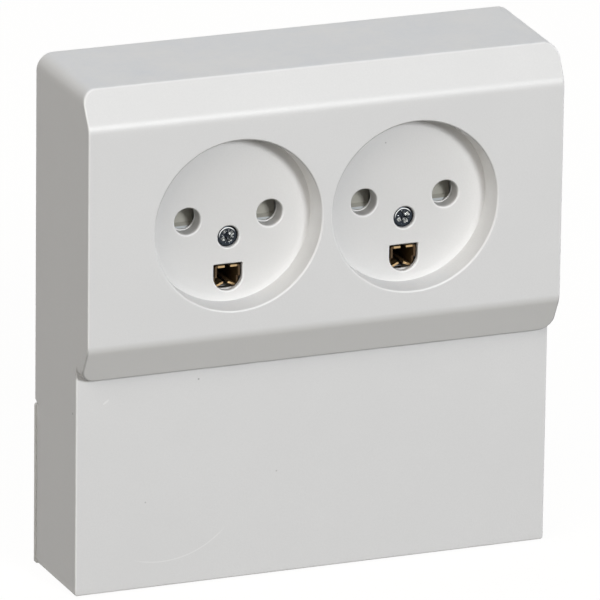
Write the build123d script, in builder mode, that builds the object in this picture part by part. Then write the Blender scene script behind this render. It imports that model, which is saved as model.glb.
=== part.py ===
"""Double earthed wall socket for surface mounting, piece by piece, in millimetres.

X runs to the right, Z runs up and -Y points out of the wall.
The origin is the middle of the wall face, and a depth is a distance out of the wall.
"""
import os
from math import atan2, tan

from build123d import *

# Cover, measured at the wall unless a depth is named
width = 111.3
height = 117.0
front_depth = 31.5
plate_depth = 24.7
wall = 2.2
draft_angle = 1.0
corner_radius = 3.8
foot_radius = 1.0
inner_radius = 0.5
edge_radius = 0.4
block_foot = 49.9
front_flat = 50.0
upper_chamfer_depth = 4.8
upper_chamfer_height = 7.8
lower_chamfer_depth = 4.5
lower_chamfer_height = 8.3
blend_radius = 3.0
notch_height = 37.2
notch_rise = 0.9
notch_depth = 1.9
breakout_width = 18.0
breakout_height = 12.0
breakout_skin = 0.9
rib_thickness = 1.2
rib_depth = 3.0
rib_length = 36.0
rib_spacing = 56.0
rib_height = 25.5

# Sockets
socket_spacing = 41.0
socket_height = 83.75
mouth_radius = 19.25
rim_radius = 0.4
seat_radius = 18.85
rim_drop = 5.25
recess_depth = 6.25
ledge_width = 2.2
ledge_thickness = 1.6
ring_wall = 1.8

# Socket faces
face_clearance = 0.1
face_thickness = 1.2
rim_land = 0.15
dish_run = 1.3
pin_spacing = 19.0
pin_hole_radius = 3.0
pin_collar_wall = 1.3
pin_collar_end = 4.0
hole_edge = 0.2
screw_drop = 4.45
earth_drop = 13.65
earth_width = 6.7
earth_height = 6.1

# Face screws
head_radius = 2.2
head_height = 1.6
head_sink = 0.5
head_clearance = 0.25
head_edge = 0.3
drive_length = 2.9
drive_width = 0.7
drive_depth = 1.0
shank_radius = 1.5
shank_length = 12.5
shank_clearance = 0.2
boss_wall = 1.4
insert_wall = 0.75
insert_length = 6.5
insert_clearance = 0.05

# Shutters and their springs
running_gap = 0.3
shutter_travel = 6.4
leg_width = 6.6
leg_top = 3.6
leg_bottom = 4.2
leg_face = 4.1
ramp_top = 1.9
ramp_foot = 2.8
shutter_depth = 5.7
arm_width = 2.5
arm_depth = 2.0
bridge_foot = 9.5
bridge_height = 3.0
post_radius = 3.2
seat_width = 5.2
seat_top = 0.4
seat_height = 1.6
spring_radius = 1.5
wire_radius = 0.22
wire_sides = 4
spring_turns = 5
spigot_radius = 0.9
spigot_length = 1.4

# Contact carrier
base_thickness = 2.4
carrier_width = 77.0
carrier_top = 15.5
carrier_bottom = 20.5
carrier_radius = 1.5
web_thickness = 1.4
passage_radius = 2.8
earth_passage_width = 7.6
earth_passage_height = 6.4
ear_length = 6.5
ear_overlap = 1.0
ear_height = 8.0
ear_thickness = 3.0
ear_depth = 9.0
ear_rise = 11.0
ear_fall = 16.0

# Brass strips and pin sleeves
strip_thickness = 0.8
strip_gap = 0.2
strip_width = 3.6
strip_offset = 6.2
sleeve_radius = 2.35
sleeve_wall = 0.6
sleeve_slit = 1.2
sleeve_end_gap = 0.45
sleeve_clearance = 0.5
leg_strip_width = 2.8
leg_strip_x = 34.8
earth_bar_width = 3.5
earth_tab_width = 3.0
fork_wall = 0.45
fork_half_width = 2.45
fork_top = 2.18
fork_foot = 2.2
fork_rise = 0.8
fork_gap = 0.65
fork_reach = 0.75
fork_step = 1.2

# Terminals
terminal_width = 8.0
terminal_height = 8.5
terminal_drop = 26.75
terminal_back = 1.0
terminal_wall = 1.0
terminal_front = 2.2
terminal_window = 6.4
terminal_seat_gap = 0.15
terminal_fence = 1.4
terminal_fence_depth = 5.0
terminal_screw_radius = 1.6

# Small screws for the carrier, terminals and clamp
small_head_radius = 2.6
small_head_height = 1.9
small_slot_width = 0.8
small_slot_depth = 0.9
small_shank_radius = 1.25
pilot_clearance = 0.05
pilot_floor = 1.6
carrier_screw_length = 9.0
terminal_screw_length = 5.5
clamp_screw_length = 10.0

# Base plate
base_clearance = 0.2
base_radius = 1.4
flange_thickness = 0.8
flange_reach = 0.2
flange_radius = 0.6
flange_gap = 0.05
slot_radius = 2.1
slot_length = 7.0
slot_side_margin = 13.65
slot_foot_margin = 17.5
slot_head_margin = 11.5
window_width = 26.0
window_height = 16.0
window_radius = 2.0
window_centre = 28.5
carrier_post_radius = 3.2
clamp_post_radius = 3.2
clamp_post_depth = 9.0

# Cable clamp
clamp_centre = 11.5
clamp_spacing = 28.0
clamp_width = 37.0
clamp_height = 8.0
clamp_thickness = 3.6
clamp_arch_radius = 8.0
clamp_arch_depth = 1.8

# Places worked out from the sizes above
bottom_z = -height / 2
top_z = height / 2
socket_z = bottom_z + socket_height
block_z = bottom_z + block_foot
left_x = -socket_spacing / 2
right_x = socket_spacing / 2
sockets = {"left": left_x, "right": right_x}
screw_z = socket_z - screw_drop
earth_z = socket_z - earth_drop
floor_depth = front_depth - recess_depth
face_back = floor_depth - face_thickness
collar_end = floor_depth - pin_collar_end
face_radius = seat_radius - face_clearance
ledge_back = face_back - ledge_thickness
head_seat = floor_depth - head_sink - head_height
boss_end = collar_end
shank_hole = shank_radius + shank_clearance
head_hole = head_radius + head_clearance
lip_depth = collar_end - running_gap
shutter_back = lip_depth - shutter_depth
guide_depth = shutter_back - running_gap
carrier_front = collar_end - running_gap
leg_x = pin_spacing / 2
arm_x = leg_x - leg_width / 2 - arm_width / 2
pocket_half = leg_x + leg_width / 2 + running_gap
pocket_top = bridge_foot + bridge_height + running_gap
pocket_bottom = leg_bottom + shutter_travel + running_gap
strip_back = base_thickness + strip_gap
strip_front = strip_back + strip_thickness
channel_front = strip_front + strip_gap
web_back = guide_depth - web_thickness
sleeve_length = web_back - sleeve_end_gap - strip_back
terminal_z = socket_z - terminal_drop
terminal_floor = strip_back - terminal_back
terminal_depth = terminal_back + terminal_window + terminal_front
terminal_top = terminal_floor + terminal_depth
rib_z = bottom_z + rib_height
window_z = bottom_z + window_centre
clamp_z = bottom_z + clamp_centre
slot_spacing_x = width - 2 * slot_side_margin
slot_spacing_z = height - slot_foot_margin - slot_head_margin
slot_centre_z = (slot_foot_margin - slot_head_margin) / 2
ear_x = carrier_width / 2 + ear_length / 2
ear_places = [(x, socket_z + z) for x in (-ear_x, ear_x) for z in (ear_rise, -ear_fall)]
terminal_places = {"line": -leg_strip_x, "earth": 0.0, "neutral": leg_strip_x}


def level(depth):
    """Sketch plane parallel to the wall at a depth, facing out."""
    return Plane.XZ.offset(depth)


def upright(x, z=0.0):
    """Sketch plane across the wall, whose axes are the depth and the height above z."""
    return Plane(origin=(x, 0, z), x_dir=(0, -1, 0), z_dir=(-1, 0, 0))


def radial(x, z):
    """Sketch plane through a line out of the wall, whose axes are the radius and the depth."""
    return Plane(origin=(x, 0, z), x_dir=(1, 0, 0), z_dir=(0, 0, -1))


def outward(x, z):
    """Axis out of the wall at a place on it."""
    return Axis((x, 0, z), (0, -1, 0))


def save(piece, name):
    """Name a finished piece and write it out."""
    piece.part.label = name
    export_step(piece.part, f"parts/{name}.step")


def raised_block(inset, rounding):
    """Raised block of the cover, moved in by an inset: a drafted outline cut by the side profile."""
    upper_turn = atan2(upper_chamfer_depth, upper_chamfer_height)
    lower_turn = atan2(lower_chamfer_depth, lower_chamfer_height)
    front = front_depth - inset
    upper_z = socket_z + front_flat / 2 - inset * tan(upper_turn / 2)
    lower_z = socket_z - front_flat / 2 + inset * tan(lower_turn / 2)
    profile_points = [
        (-wall, lower_z - 2 * lower_chamfer_height),
        (front - 2 * lower_chamfer_depth, lower_z - 2 * lower_chamfer_height),
        (front, lower_z),
        (front, upper_z),
        (front - 2 * upper_chamfer_depth, upper_z + 2 * upper_chamfer_height),
        (-wall, upper_z + 2 * upper_chamfer_height),
    ]
    with BuildPart() as block:
        with BuildSketch(Plane.XZ):
            with Locations((0, (block_z + top_z) / 2)):
                RectangleRounded(width - 2 * inset, top_z - block_z - 2 * inset, corner_radius - inset)
        extrude(amount=front, taper=draft_angle)
        with BuildSketch(upright(0)) as profile:
            with BuildLine():
                Polyline(profile_points, close=True)
            make_face()
            fillet(profile.vertices().group_by(Axis.X)[-1], blend_radius - inset)
        extrude(amount=width, both=True, mode=Mode.INTERSECT)
        if rounding:
            front_edges = block.edges().filter_by(lambda edge: edge.center().Y < -plate_depth)
            across = front_edges.filter_by(Axis.X).sort_by(Axis.Z)
            fillet(front_edges - across[1:-1], rounding)
    return block.part


def lower_plate(inset, outline_radius, rounding):
    """Lower half of the cover, moved in by an inset: a drafted plate that runs up into the block."""
    with BuildPart() as plate:
        with BuildSketch(Plane.XZ) as outline:
            with Locations((0, (bottom_z + socket_z) / 2)):
                Rectangle(width - 2 * inset, socket_z - bottom_z - 2 * inset)
            fillet(outline.vertices().group_by(Axis.Y)[0], outline_radius)
        extrude(amount=plate_depth - inset, taper=draft_angle)
        if rounding:
            fillet(plate.faces().sort_by(Axis.Y)[0].edges(), rounding)
    return plate.part


os.makedirs("parts", exist_ok=True)

# Cover
notch_z = bottom_z + notch_height
with BuildPart() as cover:
    add(raised_block(0, edge_radius))
    add(lower_plate(0, foot_radius, edge_radius))
    add(raised_block(wall, 0), mode=Mode.SUBTRACT)
    add(lower_plate(wall, inner_radius, 0), mode=Mode.SUBTRACT)
    # Rings round the recesses, then the recesses with the ledge that carries each face
    with BuildSketch(level(ledge_back)):
        with Locations((left_x, socket_z), (right_x, socket_z)):
            Circle(seat_radius + ring_wall)
    extrude(amount=front_depth - wall / 2 - ledge_back)
    for x in sockets.values():
        with BuildSketch(radial(x, socket_z)):
            with BuildLine():
                Polyline(
                    (0, ledge_back - wall),
                    (seat_radius - ledge_width, ledge_back - wall),
                    (seat_radius - ledge_width, face_back),
                    (seat_radius, face_back),
                    (seat_radius, front_depth - rim_drop),
                    (mouth_radius, front_depth),
                    (mouth_radius, front_depth + wall),
                    (0, front_depth + wall),
                    close=True,
                )
            make_face()
        revolve(axis=outward(x, socket_z), mode=Mode.SUBTRACT)
    front_face = cover.faces().sort_by(Axis.Y)[0]
    fillet(front_face.inner_wires().edges(), rim_radius)
    # Back edge let in for the flange of the base plate, with a dent above it on each side
    with BuildSketch(Plane.XZ):
        with Locations((0, (bottom_z + notch_z) / 2)):
            Rectangle(width + wall, notch_height)
    extrude(amount=flange_thickness + flange_gap, mode=Mode.SUBTRACT)
    with BuildSketch(upright(0)):
        with BuildLine():
            Polyline(
                (-wall, notch_z),
                (notch_depth, notch_z),
                (0, notch_z + notch_rise),
                (-wall, notch_z + notch_rise),
                close=True,
            )
        make_face()
    extrude(amount=width, both=True, mode=Mode.SUBTRACT)
    # Thin panel to break out for a cable from below
    with BuildSketch(level(base_thickness + base_clearance)):
        with Locations((0, bottom_z + breakout_skin + wall / 2)):
            Rectangle(breakout_width, wall)
    extrude(amount=breakout_height, mode=Mode.SUBTRACT)
    # Stiffening ribs inside the lower plate
    with BuildSketch(level(plate_depth - wall - rib_depth)):
        with Locations((-rib_spacing / 2, rib_z), (rib_spacing / 2, rib_z)):
            Rectangle(rib_thickness, rib_length)
    extrude(amount=rib_depth + wall / 2)
save(cover, "cover")

# Socket faces
for side, x in sockets.items():
    pins = [(x - pin_spacing / 2, socket_z), (x + pin_spacing / 2, socket_z)]
    dish_edge = face_radius - rim_land
    dish_rise = recess_depth - rim_drop
    earth_top = earth_z + earth_height / 2
    earth_flank = earth_height - earth_width / 2
    with BuildPart() as face:
        with BuildSketch(radial(x, socket_z)):
            with BuildLine():
                floor_line = Line((0, floor_depth), (dish_edge - dish_run, floor_depth))
                dish = TangentArc(floor_line @ 1, (dish_edge, floor_depth + dish_rise), tangent=(1, 0))
                Polyline(
                    dish @ 1,
                    (face_radius, floor_depth + dish_rise),
                    (face_radius, face_back),
                    (0, face_back),
                    (0, floor_depth),
                )
            make_face()
        revolve(axis=outward(x, socket_z))
        with BuildSketch(level(collar_end)):
            with Locations(*pins):
                Circle(pin_hole_radius + pin_collar_wall)
            with Locations((x, screw_z)):
                Circle(head_hole + boss_wall)
        extrude(amount=pin_collar_end - face_thickness / 2)
        with BuildSketch(level(collar_end)):
            with Locations(*pins):
                Circle(pin_hole_radius)
            with Locations((x, earth_top - earth_flank / 2)):
                Rectangle(earth_width, earth_flank)
            with Locations((x, earth_top - earth_flank)):
                Circle(earth_width / 2)
            with Locations((x, earth_top + earth_width / 2)):
                Rectangle(earth_width, earth_width, mode=Mode.SUBTRACT)
            with Locations((x, screw_z)):
                Circle(shank_hole)
        extrude(amount=front_depth - collar_end, mode=Mode.SUBTRACT)
        with BuildSketch(level(head_seat)):
            with Locations((x, screw_z)):
                Circle(head_hole)
        extrude(amount=front_depth - head_seat, mode=Mode.SUBTRACT)
        flats = face.faces().filter_by(GeomType.PLANE)
        floor_face = flats.sort_by(lambda flat: abs(flat.center().Y + floor_depth))[0]
        chamfer(floor_face.inner_wires().edges(), hole_edge)
    save(face, f"socket_face_{side}")

# Face screws
with BuildPart() as face_screws:
    for x in sockets.values():
        with BuildSketch(radial(x, screw_z)) as section:
            with BuildLine():
                Polyline(
                    (0, head_seat - shank_length),
                    (shank_radius, head_seat - shank_length),
                    (shank_radius, head_seat),
                    (head_radius, head_seat),
                    (head_radius, head_seat + head_height),
                    (0, head_seat + head_height),
                    close=True,
                )
            make_face()
            chamfer(section.vertices().group_by(Axis.X)[-1].sort_by(Axis.Y)[-1], head_edge)
        revolve(axis=outward(x, screw_z))
        with BuildSketch(level(head_seat + head_height - drive_depth)):
            with Locations((x, screw_z)):
                Rectangle(drive_length, drive_width)
                Rectangle(drive_width, drive_length)
        extrude(amount=head_height, mode=Mode.SUBTRACT)
save(face_screws, "face_screws")

# Brass inserts that take the face screws
insert_bore = shank_radius + insert_clearance
insert_radius = insert_bore + insert_wall
with BuildPart() as screw_inserts:
    with BuildSketch(level(boss_end - insert_length)):
        with Locations((left_x, screw_z), (right_x, screw_z)):
            Circle(insert_radius)
            Circle(insert_bore, mode=Mode.SUBTRACT)
    extrude(amount=insert_length)
save(screw_inserts, "screw_inserts")

# Contact carrier
sleeve_outer = sleeve_radius + sleeve_wall
line_pins = [x - pin_spacing / 2 for x in sockets.values()]
neutral_pins = [x + pin_spacing / 2 for x in sockets.values()]
pin_places = [(x, socket_z) for x in line_pins + neutral_pins]
line_z = socket_z + strip_offset
neutral_z = socket_z - strip_offset
bar_places = {"line": line_z, "earth": earth_z, "neutral": neutral_z}
leg_end_z = terminal_z - terminal_height / 2
spring_depth = shutter_back + shutter_depth / 2
with BuildPart() as contact_carrier:
    with BuildSketch(level(base_thickness)):
        with Locations((0, socket_z + (carrier_top - carrier_bottom) / 2)):
            RectangleRounded(carrier_width, carrier_top + carrier_bottom, carrier_radius)
    extrude(amount=carrier_front - base_thickness)
    with BuildSketch(level(ear_depth)):
        with Locations(*ear_places):
            RectangleRounded(ear_length + 2 * ear_overlap, ear_height, carrier_radius)
    extrude(amount=ear_thickness)
    # Shutter pockets with a screw post and a spring seat left standing in each
    with BuildSketch(level(guide_depth)):
        with Locations(*[(x, socket_z + (pocket_top - pocket_bottom) / 2) for x in sockets.values()]):
            Rectangle(2 * pocket_half, pocket_top + pocket_bottom)
    extrude(amount=front_depth - guide_depth, mode=Mode.SUBTRACT)
    with BuildSketch(level(guide_depth)):
        with Locations((left_x, screw_z), (right_x, screw_z)):
            Circle(post_radius)
    extrude(amount=boss_end - guide_depth)
    with BuildSketch(level(guide_depth)):
        with Locations(*[(x, socket_z + seat_top - seat_height / 2) for x in sockets.values()]):
            Rectangle(seat_width, seat_height)
    extrude(amount=shutter_depth)
    # Seats for the inserts and clearance below them for the screw ends
    with BuildSketch(level(boss_end - insert_length)):
        with Locations((left_x, screw_z), (right_x, screw_z)):
            Circle(insert_radius + insert_clearance)
    extrude(amount=front_depth - boss_end + insert_length, mode=Mode.SUBTRACT)
    with BuildSketch(level(head_seat - shank_length - running_gap)):
        with Locations((left_x, screw_z), (right_x, screw_z)):
            Circle(shank_hole)
    extrude(amount=shank_length, mode=Mode.SUBTRACT)
    # Sleeve chambers, pin passages, earth passages and channels for the strips
    with BuildSketch(level(base_thickness)):
        with Locations(*pin_places):
            Circle(sleeve_outer + sleeve_clearance)
    extrude(amount=web_back - base_thickness, mode=Mode.SUBTRACT)
    with BuildSketch(level(base_thickness)):
        with Locations(*pin_places):
            Circle(passage_radius)
        with Locations((left_x, earth_z), (right_x, earth_z)):
            Rectangle(earth_passage_width, earth_passage_height)
    extrude(amount=front_depth - base_thickness, mode=Mode.SUBTRACT)
    channel_width = strip_width + 2 * strip_gap
    with BuildSketch(level(base_thickness)):
        with Locations((0, line_z), (0, neutral_z)):
            Rectangle(carrier_width - 2 * carrier_radius, channel_width)
        with Locations(*[(x, line_z - strip_offset / 2) for x in line_pins]):
            Rectangle(2 * sleeve_outer, strip_offset)
        with Locations(*[(x, neutral_z + strip_offset / 2) for x in neutral_pins]):
            Rectangle(2 * sleeve_outer, strip_offset)
        with Locations((0, earth_z)):
            Rectangle(socket_spacing, earth_bar_width + 2 * strip_gap)
        for pole, x in terminal_places.items():
            leg_run = bar_places[pole] - socket_z + carrier_bottom
            with Locations((x, bar_places[pole] - leg_run / 2)):
                Rectangle(earth_tab_width + 2 * strip_gap, leg_run)
    extrude(amount=channel_front - base_thickness, mode=Mode.SUBTRACT)
    with BuildSketch(level(ear_depth)):
        with Locations(*ear_places):
            Circle(small_shank_radius + shank_clearance)
    extrude(amount=ear_thickness, mode=Mode.SUBTRACT)
save(contact_carrier, "contact_carrier")


def small_screws(places, seat, length, radius):
    """Pan-head screws with a straight slot, their heads on a seat depth."""
    with BuildPart() as screws:
        for x, z in places:
            with BuildSketch(radial(x, z)) as section:
                with BuildLine():
                    Polyline(
                        (0, seat - length),
                        (radius, seat - length),
                        (radius, seat),
                        (small_head_radius, seat),
                        (small_head_radius, seat + small_head_height),
                        (0, seat + small_head_height),
                        close=True,
                    )
                make_face()
                chamfer(section.vertices().group_by(Axis.X)[-1].sort_by(Axis.Y)[-1], head_edge)
            revolve(axis=outward(x, z))
            with BuildSketch(level(seat + small_head_height - small_slot_depth)):
                with Locations((x, z)):
                    Rectangle(2 * small_head_radius + small_slot_width, small_slot_width)
            extrude(amount=small_head_height, mode=Mode.SUBTRACT)
    return screws


ear_front = ear_depth + ear_thickness
carrier_screws = small_screws(ear_places, ear_front, carrier_screw_length, small_shank_radius)
save(carrier_screws, "carrier_screws")

# Shutters and springs
for side, x in sockets.items():
    with BuildPart() as shutter:
        for leg in (x - leg_x, x + leg_x):
            with BuildSketch(upright(leg, socket_z)):
                with BuildLine():
                    Polyline(
                        (shutter_back, leg_top),
                        (shutter_back + leg_face, leg_top),
                        (shutter_back + leg_face, -ramp_top),
                        (lip_depth, -ramp_foot),
                        (lip_depth, -leg_bottom),
                        (shutter_back, -leg_bottom),
                        close=True,
                    )
                make_face()
            extrude(amount=leg_width / 2, both=True)
        arm_top = bridge_foot + bridge_height
        arm_z = socket_z + (arm_top - leg_bottom) / 2
        with BuildSketch(level(shutter_back)):
            with Locations((x - arm_x, arm_z), (x + arm_x, arm_z)):
                Rectangle(arm_width, arm_top + leg_bottom)
        extrude(amount=arm_depth)
        with BuildSketch(level(shutter_back)):
            with Locations((x, socket_z + bridge_foot + bridge_height / 2)):
                Rectangle(2 * arm_x + arm_width, bridge_height)
        extrude(amount=shutter_depth)
        with BuildSketch(Plane.XY.offset(socket_z + bridge_foot - spigot_length)):
            with Locations((x, -spring_depth)):
                Circle(spigot_radius)
        extrude(amount=spigot_length + bridge_height / 2)
    save(shutter, f"shutter_{side}")

    spring_foot = socket_z + seat_top + wire_radius
    spring_height = bridge_foot - seat_top - 2 * wire_radius
    spring_start = (x, -spring_depth, spring_foot)
    with BuildPart() as shutter_spring:
        with BuildLine() as coil:
            Helix(spring_height / spring_turns, spring_height, spring_radius, center=spring_start)
        with BuildSketch(Plane(origin=coil.line @ 0, z_dir=coil.line % 0)):
            RegularPolygon(wire_radius, wire_sides)
        sweep(is_frenet=True)
    save(shutter_spring, f"shutter_spring_{side}")


def contact_strip(name, pin_xs, bar_z, leg_x_place, slit_side):
    """Brass strip for one pole: a bar with a leg to its terminal and a split sleeve for each pin."""
    bar_ends = pin_xs + [leg_x_place]
    bar_low = min(bar_ends) - leg_strip_width / 2
    bar_high = max(bar_ends) + leg_strip_width / 2
    with BuildPart() as strip:
        with BuildSketch(level(strip_back)):
            with Locations(((bar_low + bar_high) / 2, bar_z)):
                Rectangle(bar_high - bar_low, strip_width)
            with Locations((leg_x_place, (bar_z + leg_end_z) / 2)):
                Rectangle(leg_strip_width, bar_z - leg_end_z)
            with Locations(*[(x, (bar_z + socket_z) / 2) for x in pin_xs]):
                Rectangle(2 * sleeve_radius, strip_offset)
            with Locations(*[(x, socket_z) for x in pin_xs]):
                Circle(sleeve_outer)
        extrude(amount=strip_thickness)
        with BuildSketch(level(strip_back)):
            with Locations(*[(x, socket_z) for x in pin_xs]):
                Circle(sleeve_outer)
                Circle(sleeve_radius, mode=Mode.SUBTRACT)
            with Locations(*[(x, socket_z + slit_side * sleeve_outer) for x in pin_xs]):
                Rectangle(sleeve_slit, 2 * sleeve_wall + sleeve_slit, mode=Mode.SUBTRACT)
        extrude(amount=sleeve_length)
    save(strip, name)


contact_strip("line_strip", line_pins, line_z, terminal_places["line"], -1)
contact_strip("neutral_strip", neutral_pins, neutral_z, terminal_places["neutral"], 1)

# Earth strip with a folded contact behind each earth hole
fork_end = face_back + fork_reach
with BuildPart() as earth_strip:
    with BuildSketch(level(strip_back)):
        with Locations((0, earth_z)):
            Rectangle(socket_spacing, earth_bar_width)
        with Locations((left_x, earth_z), (right_x, earth_z)):
            Rectangle(2 * fork_half_width, fork_top + fork_foot)
        with Locations((0, (earth_z + leg_end_z) / 2)):
            Rectangle(earth_tab_width, earth_z - leg_end_z)
    extrude(amount=strip_thickness)
    for x in sockets.values():
        for turn in (-1, 1):
            with BuildSketch(level(strip_back)):
                with BuildLine():
                    Polyline(
                        (x + turn * fork_gap, earth_z + fork_top),
                        (x + turn * fork_half_width, earth_z + fork_top),
                        (x + turn * fork_half_width, earth_z - fork_foot),
                        (x + turn * fork_gap, earth_z - fork_foot + fork_rise),
                    )
                    offset(amount=fork_wall, side=Side.LEFT if turn > 0 else Side.RIGHT)
                make_face()
            extrude(amount=fork_end - strip_back)
    # The lower leaves stop short of the upper ones
    with BuildSketch(level(fork_end - fork_step)):
        with Locations((left_x, earth_z - earth_height / 2), (right_x, earth_z - earth_height / 2)):
            Rectangle(2 * earth_width, earth_height)
    extrude(amount=fork_step, mode=Mode.SUBTRACT)
save(earth_strip, "earth_strip")

# Clamp cages and their screws
for pole, x in terminal_places.items():
    with BuildPart() as terminal:
        with BuildSketch(level(terminal_floor)):
            with Locations((x, terminal_z)):
                Rectangle(terminal_width, terminal_height)
        extrude(amount=terminal_depth)
        with BuildSketch(level(strip_back)):
            with Locations((x, terminal_z)):
                Rectangle(terminal_width - 2 * terminal_wall, terminal_height)
        extrude(amount=terminal_window, mode=Mode.SUBTRACT)
        with BuildSketch(level(terminal_top - terminal_front)):
            with Locations((x, terminal_z)):
                Circle(terminal_screw_radius + pilot_clearance)
        extrude(amount=terminal_front, mode=Mode.SUBTRACT)
    save(terminal, f"{pole}_terminal")
terminal_centres = [(x, terminal_z) for x in terminal_places.values()]
terminal_screws = small_screws(terminal_centres, terminal_top, terminal_screw_length, terminal_screw_radius)
save(terminal_screws, "terminal_screws")

# Base plate
clamp_places = [(-clamp_spacing / 2, clamp_z), (clamp_spacing / 2, clamp_z)]
plate_inset = wall + base_clearance
pilot_radius = small_shank_radius + pilot_clearance
with BuildPart() as base_plate:
    with BuildSketch(Plane.XZ):
        RectangleRounded(width - 2 * plate_inset, height - 2 * plate_inset, base_radius)
    extrude(amount=base_thickness)
    with BuildSketch(Plane.XZ):
        with Locations((0, (bottom_z + notch_z) / 2)):
            RectangleRounded(width + 2 * flange_reach, notch_height, flange_radius)
    extrude(amount=flange_thickness)
    # Posts for the carrier and the cable clamp
    with BuildSketch(level(base_thickness)):
        with Locations(*ear_places):
            Circle(carrier_post_radius)
    extrude(amount=ear_depth - base_thickness)
    with BuildSketch(level(base_thickness)):
        with Locations(*clamp_places):
            Circle(clamp_post_radius)
    extrude(amount=clamp_post_depth - base_thickness)
    # Seats with a low fence round the clamp cages
    seat_grow = 2 * terminal_seat_gap
    fence_x = (terminal_width + seat_grow + terminal_fence) / 2
    with BuildSketch(level(base_thickness)):
        for x in terminal_places.values():
            with Locations((x - fence_x, terminal_z), (x + fence_x, terminal_z)):
                Rectangle(terminal_fence, terminal_height)
    extrude(amount=terminal_fence_depth)
    with BuildSketch(level(terminal_floor)):
        for x in terminal_places.values():
            with Locations((x, terminal_z)):
                Rectangle(terminal_width + seat_grow, terminal_height + seat_grow)
    extrude(amount=base_thickness - terminal_floor, mode=Mode.SUBTRACT)
    # Wall-fixing slots, cable window and pilot holes
    with BuildSketch(Plane.XZ):
        with Locations((0, slot_centre_z)):
            with GridLocations(slot_spacing_x, slot_spacing_z, 2, 2):
                SlotOverall(slot_length, 2 * slot_radius)
        with Locations((0, window_z)):
            RectangleRounded(window_width, window_height, window_radius)
    extrude(amount=base_thickness, mode=Mode.SUBTRACT)
    with BuildSketch(level(pilot_floor)):
        with Locations(*ear_places, *clamp_places):
            Circle(pilot_radius)
    extrude(amount=front_depth, mode=Mode.SUBTRACT)
save(base_plate, "base_plate")

# Cable clamp and its screws
clamp_front = clamp_post_depth + clamp_thickness
with BuildPart() as cable_clamp:
    with BuildSketch(level(clamp_post_depth)):
        with Locations((0, clamp_z)):
            RectangleRounded(clamp_width, clamp_height, carrier_radius)
    extrude(amount=clamp_thickness)
    with BuildSketch(Plane.XY.offset(clamp_z)):
        with Locations((0, clamp_arch_radius - clamp_arch_depth - clamp_post_depth)):
            Circle(clamp_arch_radius)
    extrude(amount=clamp_height, both=True, mode=Mode.SUBTRACT)
    with BuildSketch(level(clamp_post_depth)):
        with Locations(*clamp_places):
            Circle(small_shank_radius + shank_clearance)
    extrude(amount=clamp_thickness, mode=Mode.SUBTRACT)
save(cable_clamp, "cable_clamp")
clamp_screws = small_screws(clamp_places, clamp_front, clamp_screw_length, small_shank_radius)
save(clamp_screws, "cable_clamp_screws")
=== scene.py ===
"""Dressed model of a surface-mounted double wall socket, laid out as an add-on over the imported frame."""

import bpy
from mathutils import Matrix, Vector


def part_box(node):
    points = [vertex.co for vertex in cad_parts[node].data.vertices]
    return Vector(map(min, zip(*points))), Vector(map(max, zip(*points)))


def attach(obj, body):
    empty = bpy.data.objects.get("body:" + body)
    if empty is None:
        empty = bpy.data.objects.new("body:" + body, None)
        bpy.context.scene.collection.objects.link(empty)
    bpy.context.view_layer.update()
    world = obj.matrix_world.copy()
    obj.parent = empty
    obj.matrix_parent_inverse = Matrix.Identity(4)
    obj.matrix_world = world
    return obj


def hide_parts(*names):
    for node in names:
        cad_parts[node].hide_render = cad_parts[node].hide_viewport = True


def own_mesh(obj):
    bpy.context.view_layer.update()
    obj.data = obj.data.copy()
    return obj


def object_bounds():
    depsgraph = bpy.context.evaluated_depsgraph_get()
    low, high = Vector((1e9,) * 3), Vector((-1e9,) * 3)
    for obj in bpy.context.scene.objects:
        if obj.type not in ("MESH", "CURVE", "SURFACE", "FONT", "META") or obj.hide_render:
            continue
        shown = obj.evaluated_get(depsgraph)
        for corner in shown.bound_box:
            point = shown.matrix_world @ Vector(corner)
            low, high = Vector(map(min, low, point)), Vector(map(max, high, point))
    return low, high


bl_info = {
    "name": "Double wall socket",
    "version": (1, 0, 0),
    "blender": (4, 5, 0),
    "location": "View3D > Sidebar > Socket",
    "description": "Moulded cover, dished socket faces, screws, brass contacts and a plain studio",
    "category": "Object",
}

from functools import partial, reduce
from math import cos, pi, radians, sin, tan

import bpy
import numpy as np
from bpy.props import FloatProperty, FloatVectorProperty, PointerProperty
from bpy.types import Operator, Panel, PropertyGroup
from mathutils import Matrix, Vector

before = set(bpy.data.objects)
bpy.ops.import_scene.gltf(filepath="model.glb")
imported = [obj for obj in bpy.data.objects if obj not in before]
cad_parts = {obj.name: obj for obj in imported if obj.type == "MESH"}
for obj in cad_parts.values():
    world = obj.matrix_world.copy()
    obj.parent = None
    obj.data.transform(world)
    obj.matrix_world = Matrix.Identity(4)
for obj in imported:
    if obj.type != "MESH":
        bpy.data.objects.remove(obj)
CAD_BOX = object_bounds()
HOUSING = "housing"
SIDES = {"left": -1, "right": 1}
OUT = np.array((0.0, -1.0, 0.0))
BACK = -OUT

# Meshes, with lengths in metres
WELD_STEP = 2e-6  # points this close become one
SHARP_BEND, SCREW_BEND = radians(35), radians(50)  # edges that bend more stay sharp
# Edges picked out by these bends are made pale: partly wear, partly a painted highlight
PALE_EDGE_BEND, PALE_EDGE_RUN = 0.07, 0.05  # bend at which an edge begins to wear, and how much more wears it fully
ROUND_POINTS, CORNER_POINTS, BLEND_POINTS = 6, 13, 11  # points along small roundings, corners and blends
PANEL_COLUMNS, PANEL_LEVELS = 46, 43  # lines of each half of the flat front
PANEL_RINGS = (0, 0.03, 0.12, 0.3, 0.55, 0.8, 1.0)  # shares of the way from a recess to the panel's outline
WALL_ROWS = (0.02, 0.012, 0.006, 0.003)  # depths of the rows of the cover's walls
FIRST_ROW, PLATE_ROW, LAST_ROW = 0.0012, 0.0006, 0.0001  # rows behind an edge, behind the plate, before an end
STRIP_HALF, STRIP_SPLIT = 0.0046, -0.009  # middle strip of a face: half its width, where its two cells meet
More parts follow.
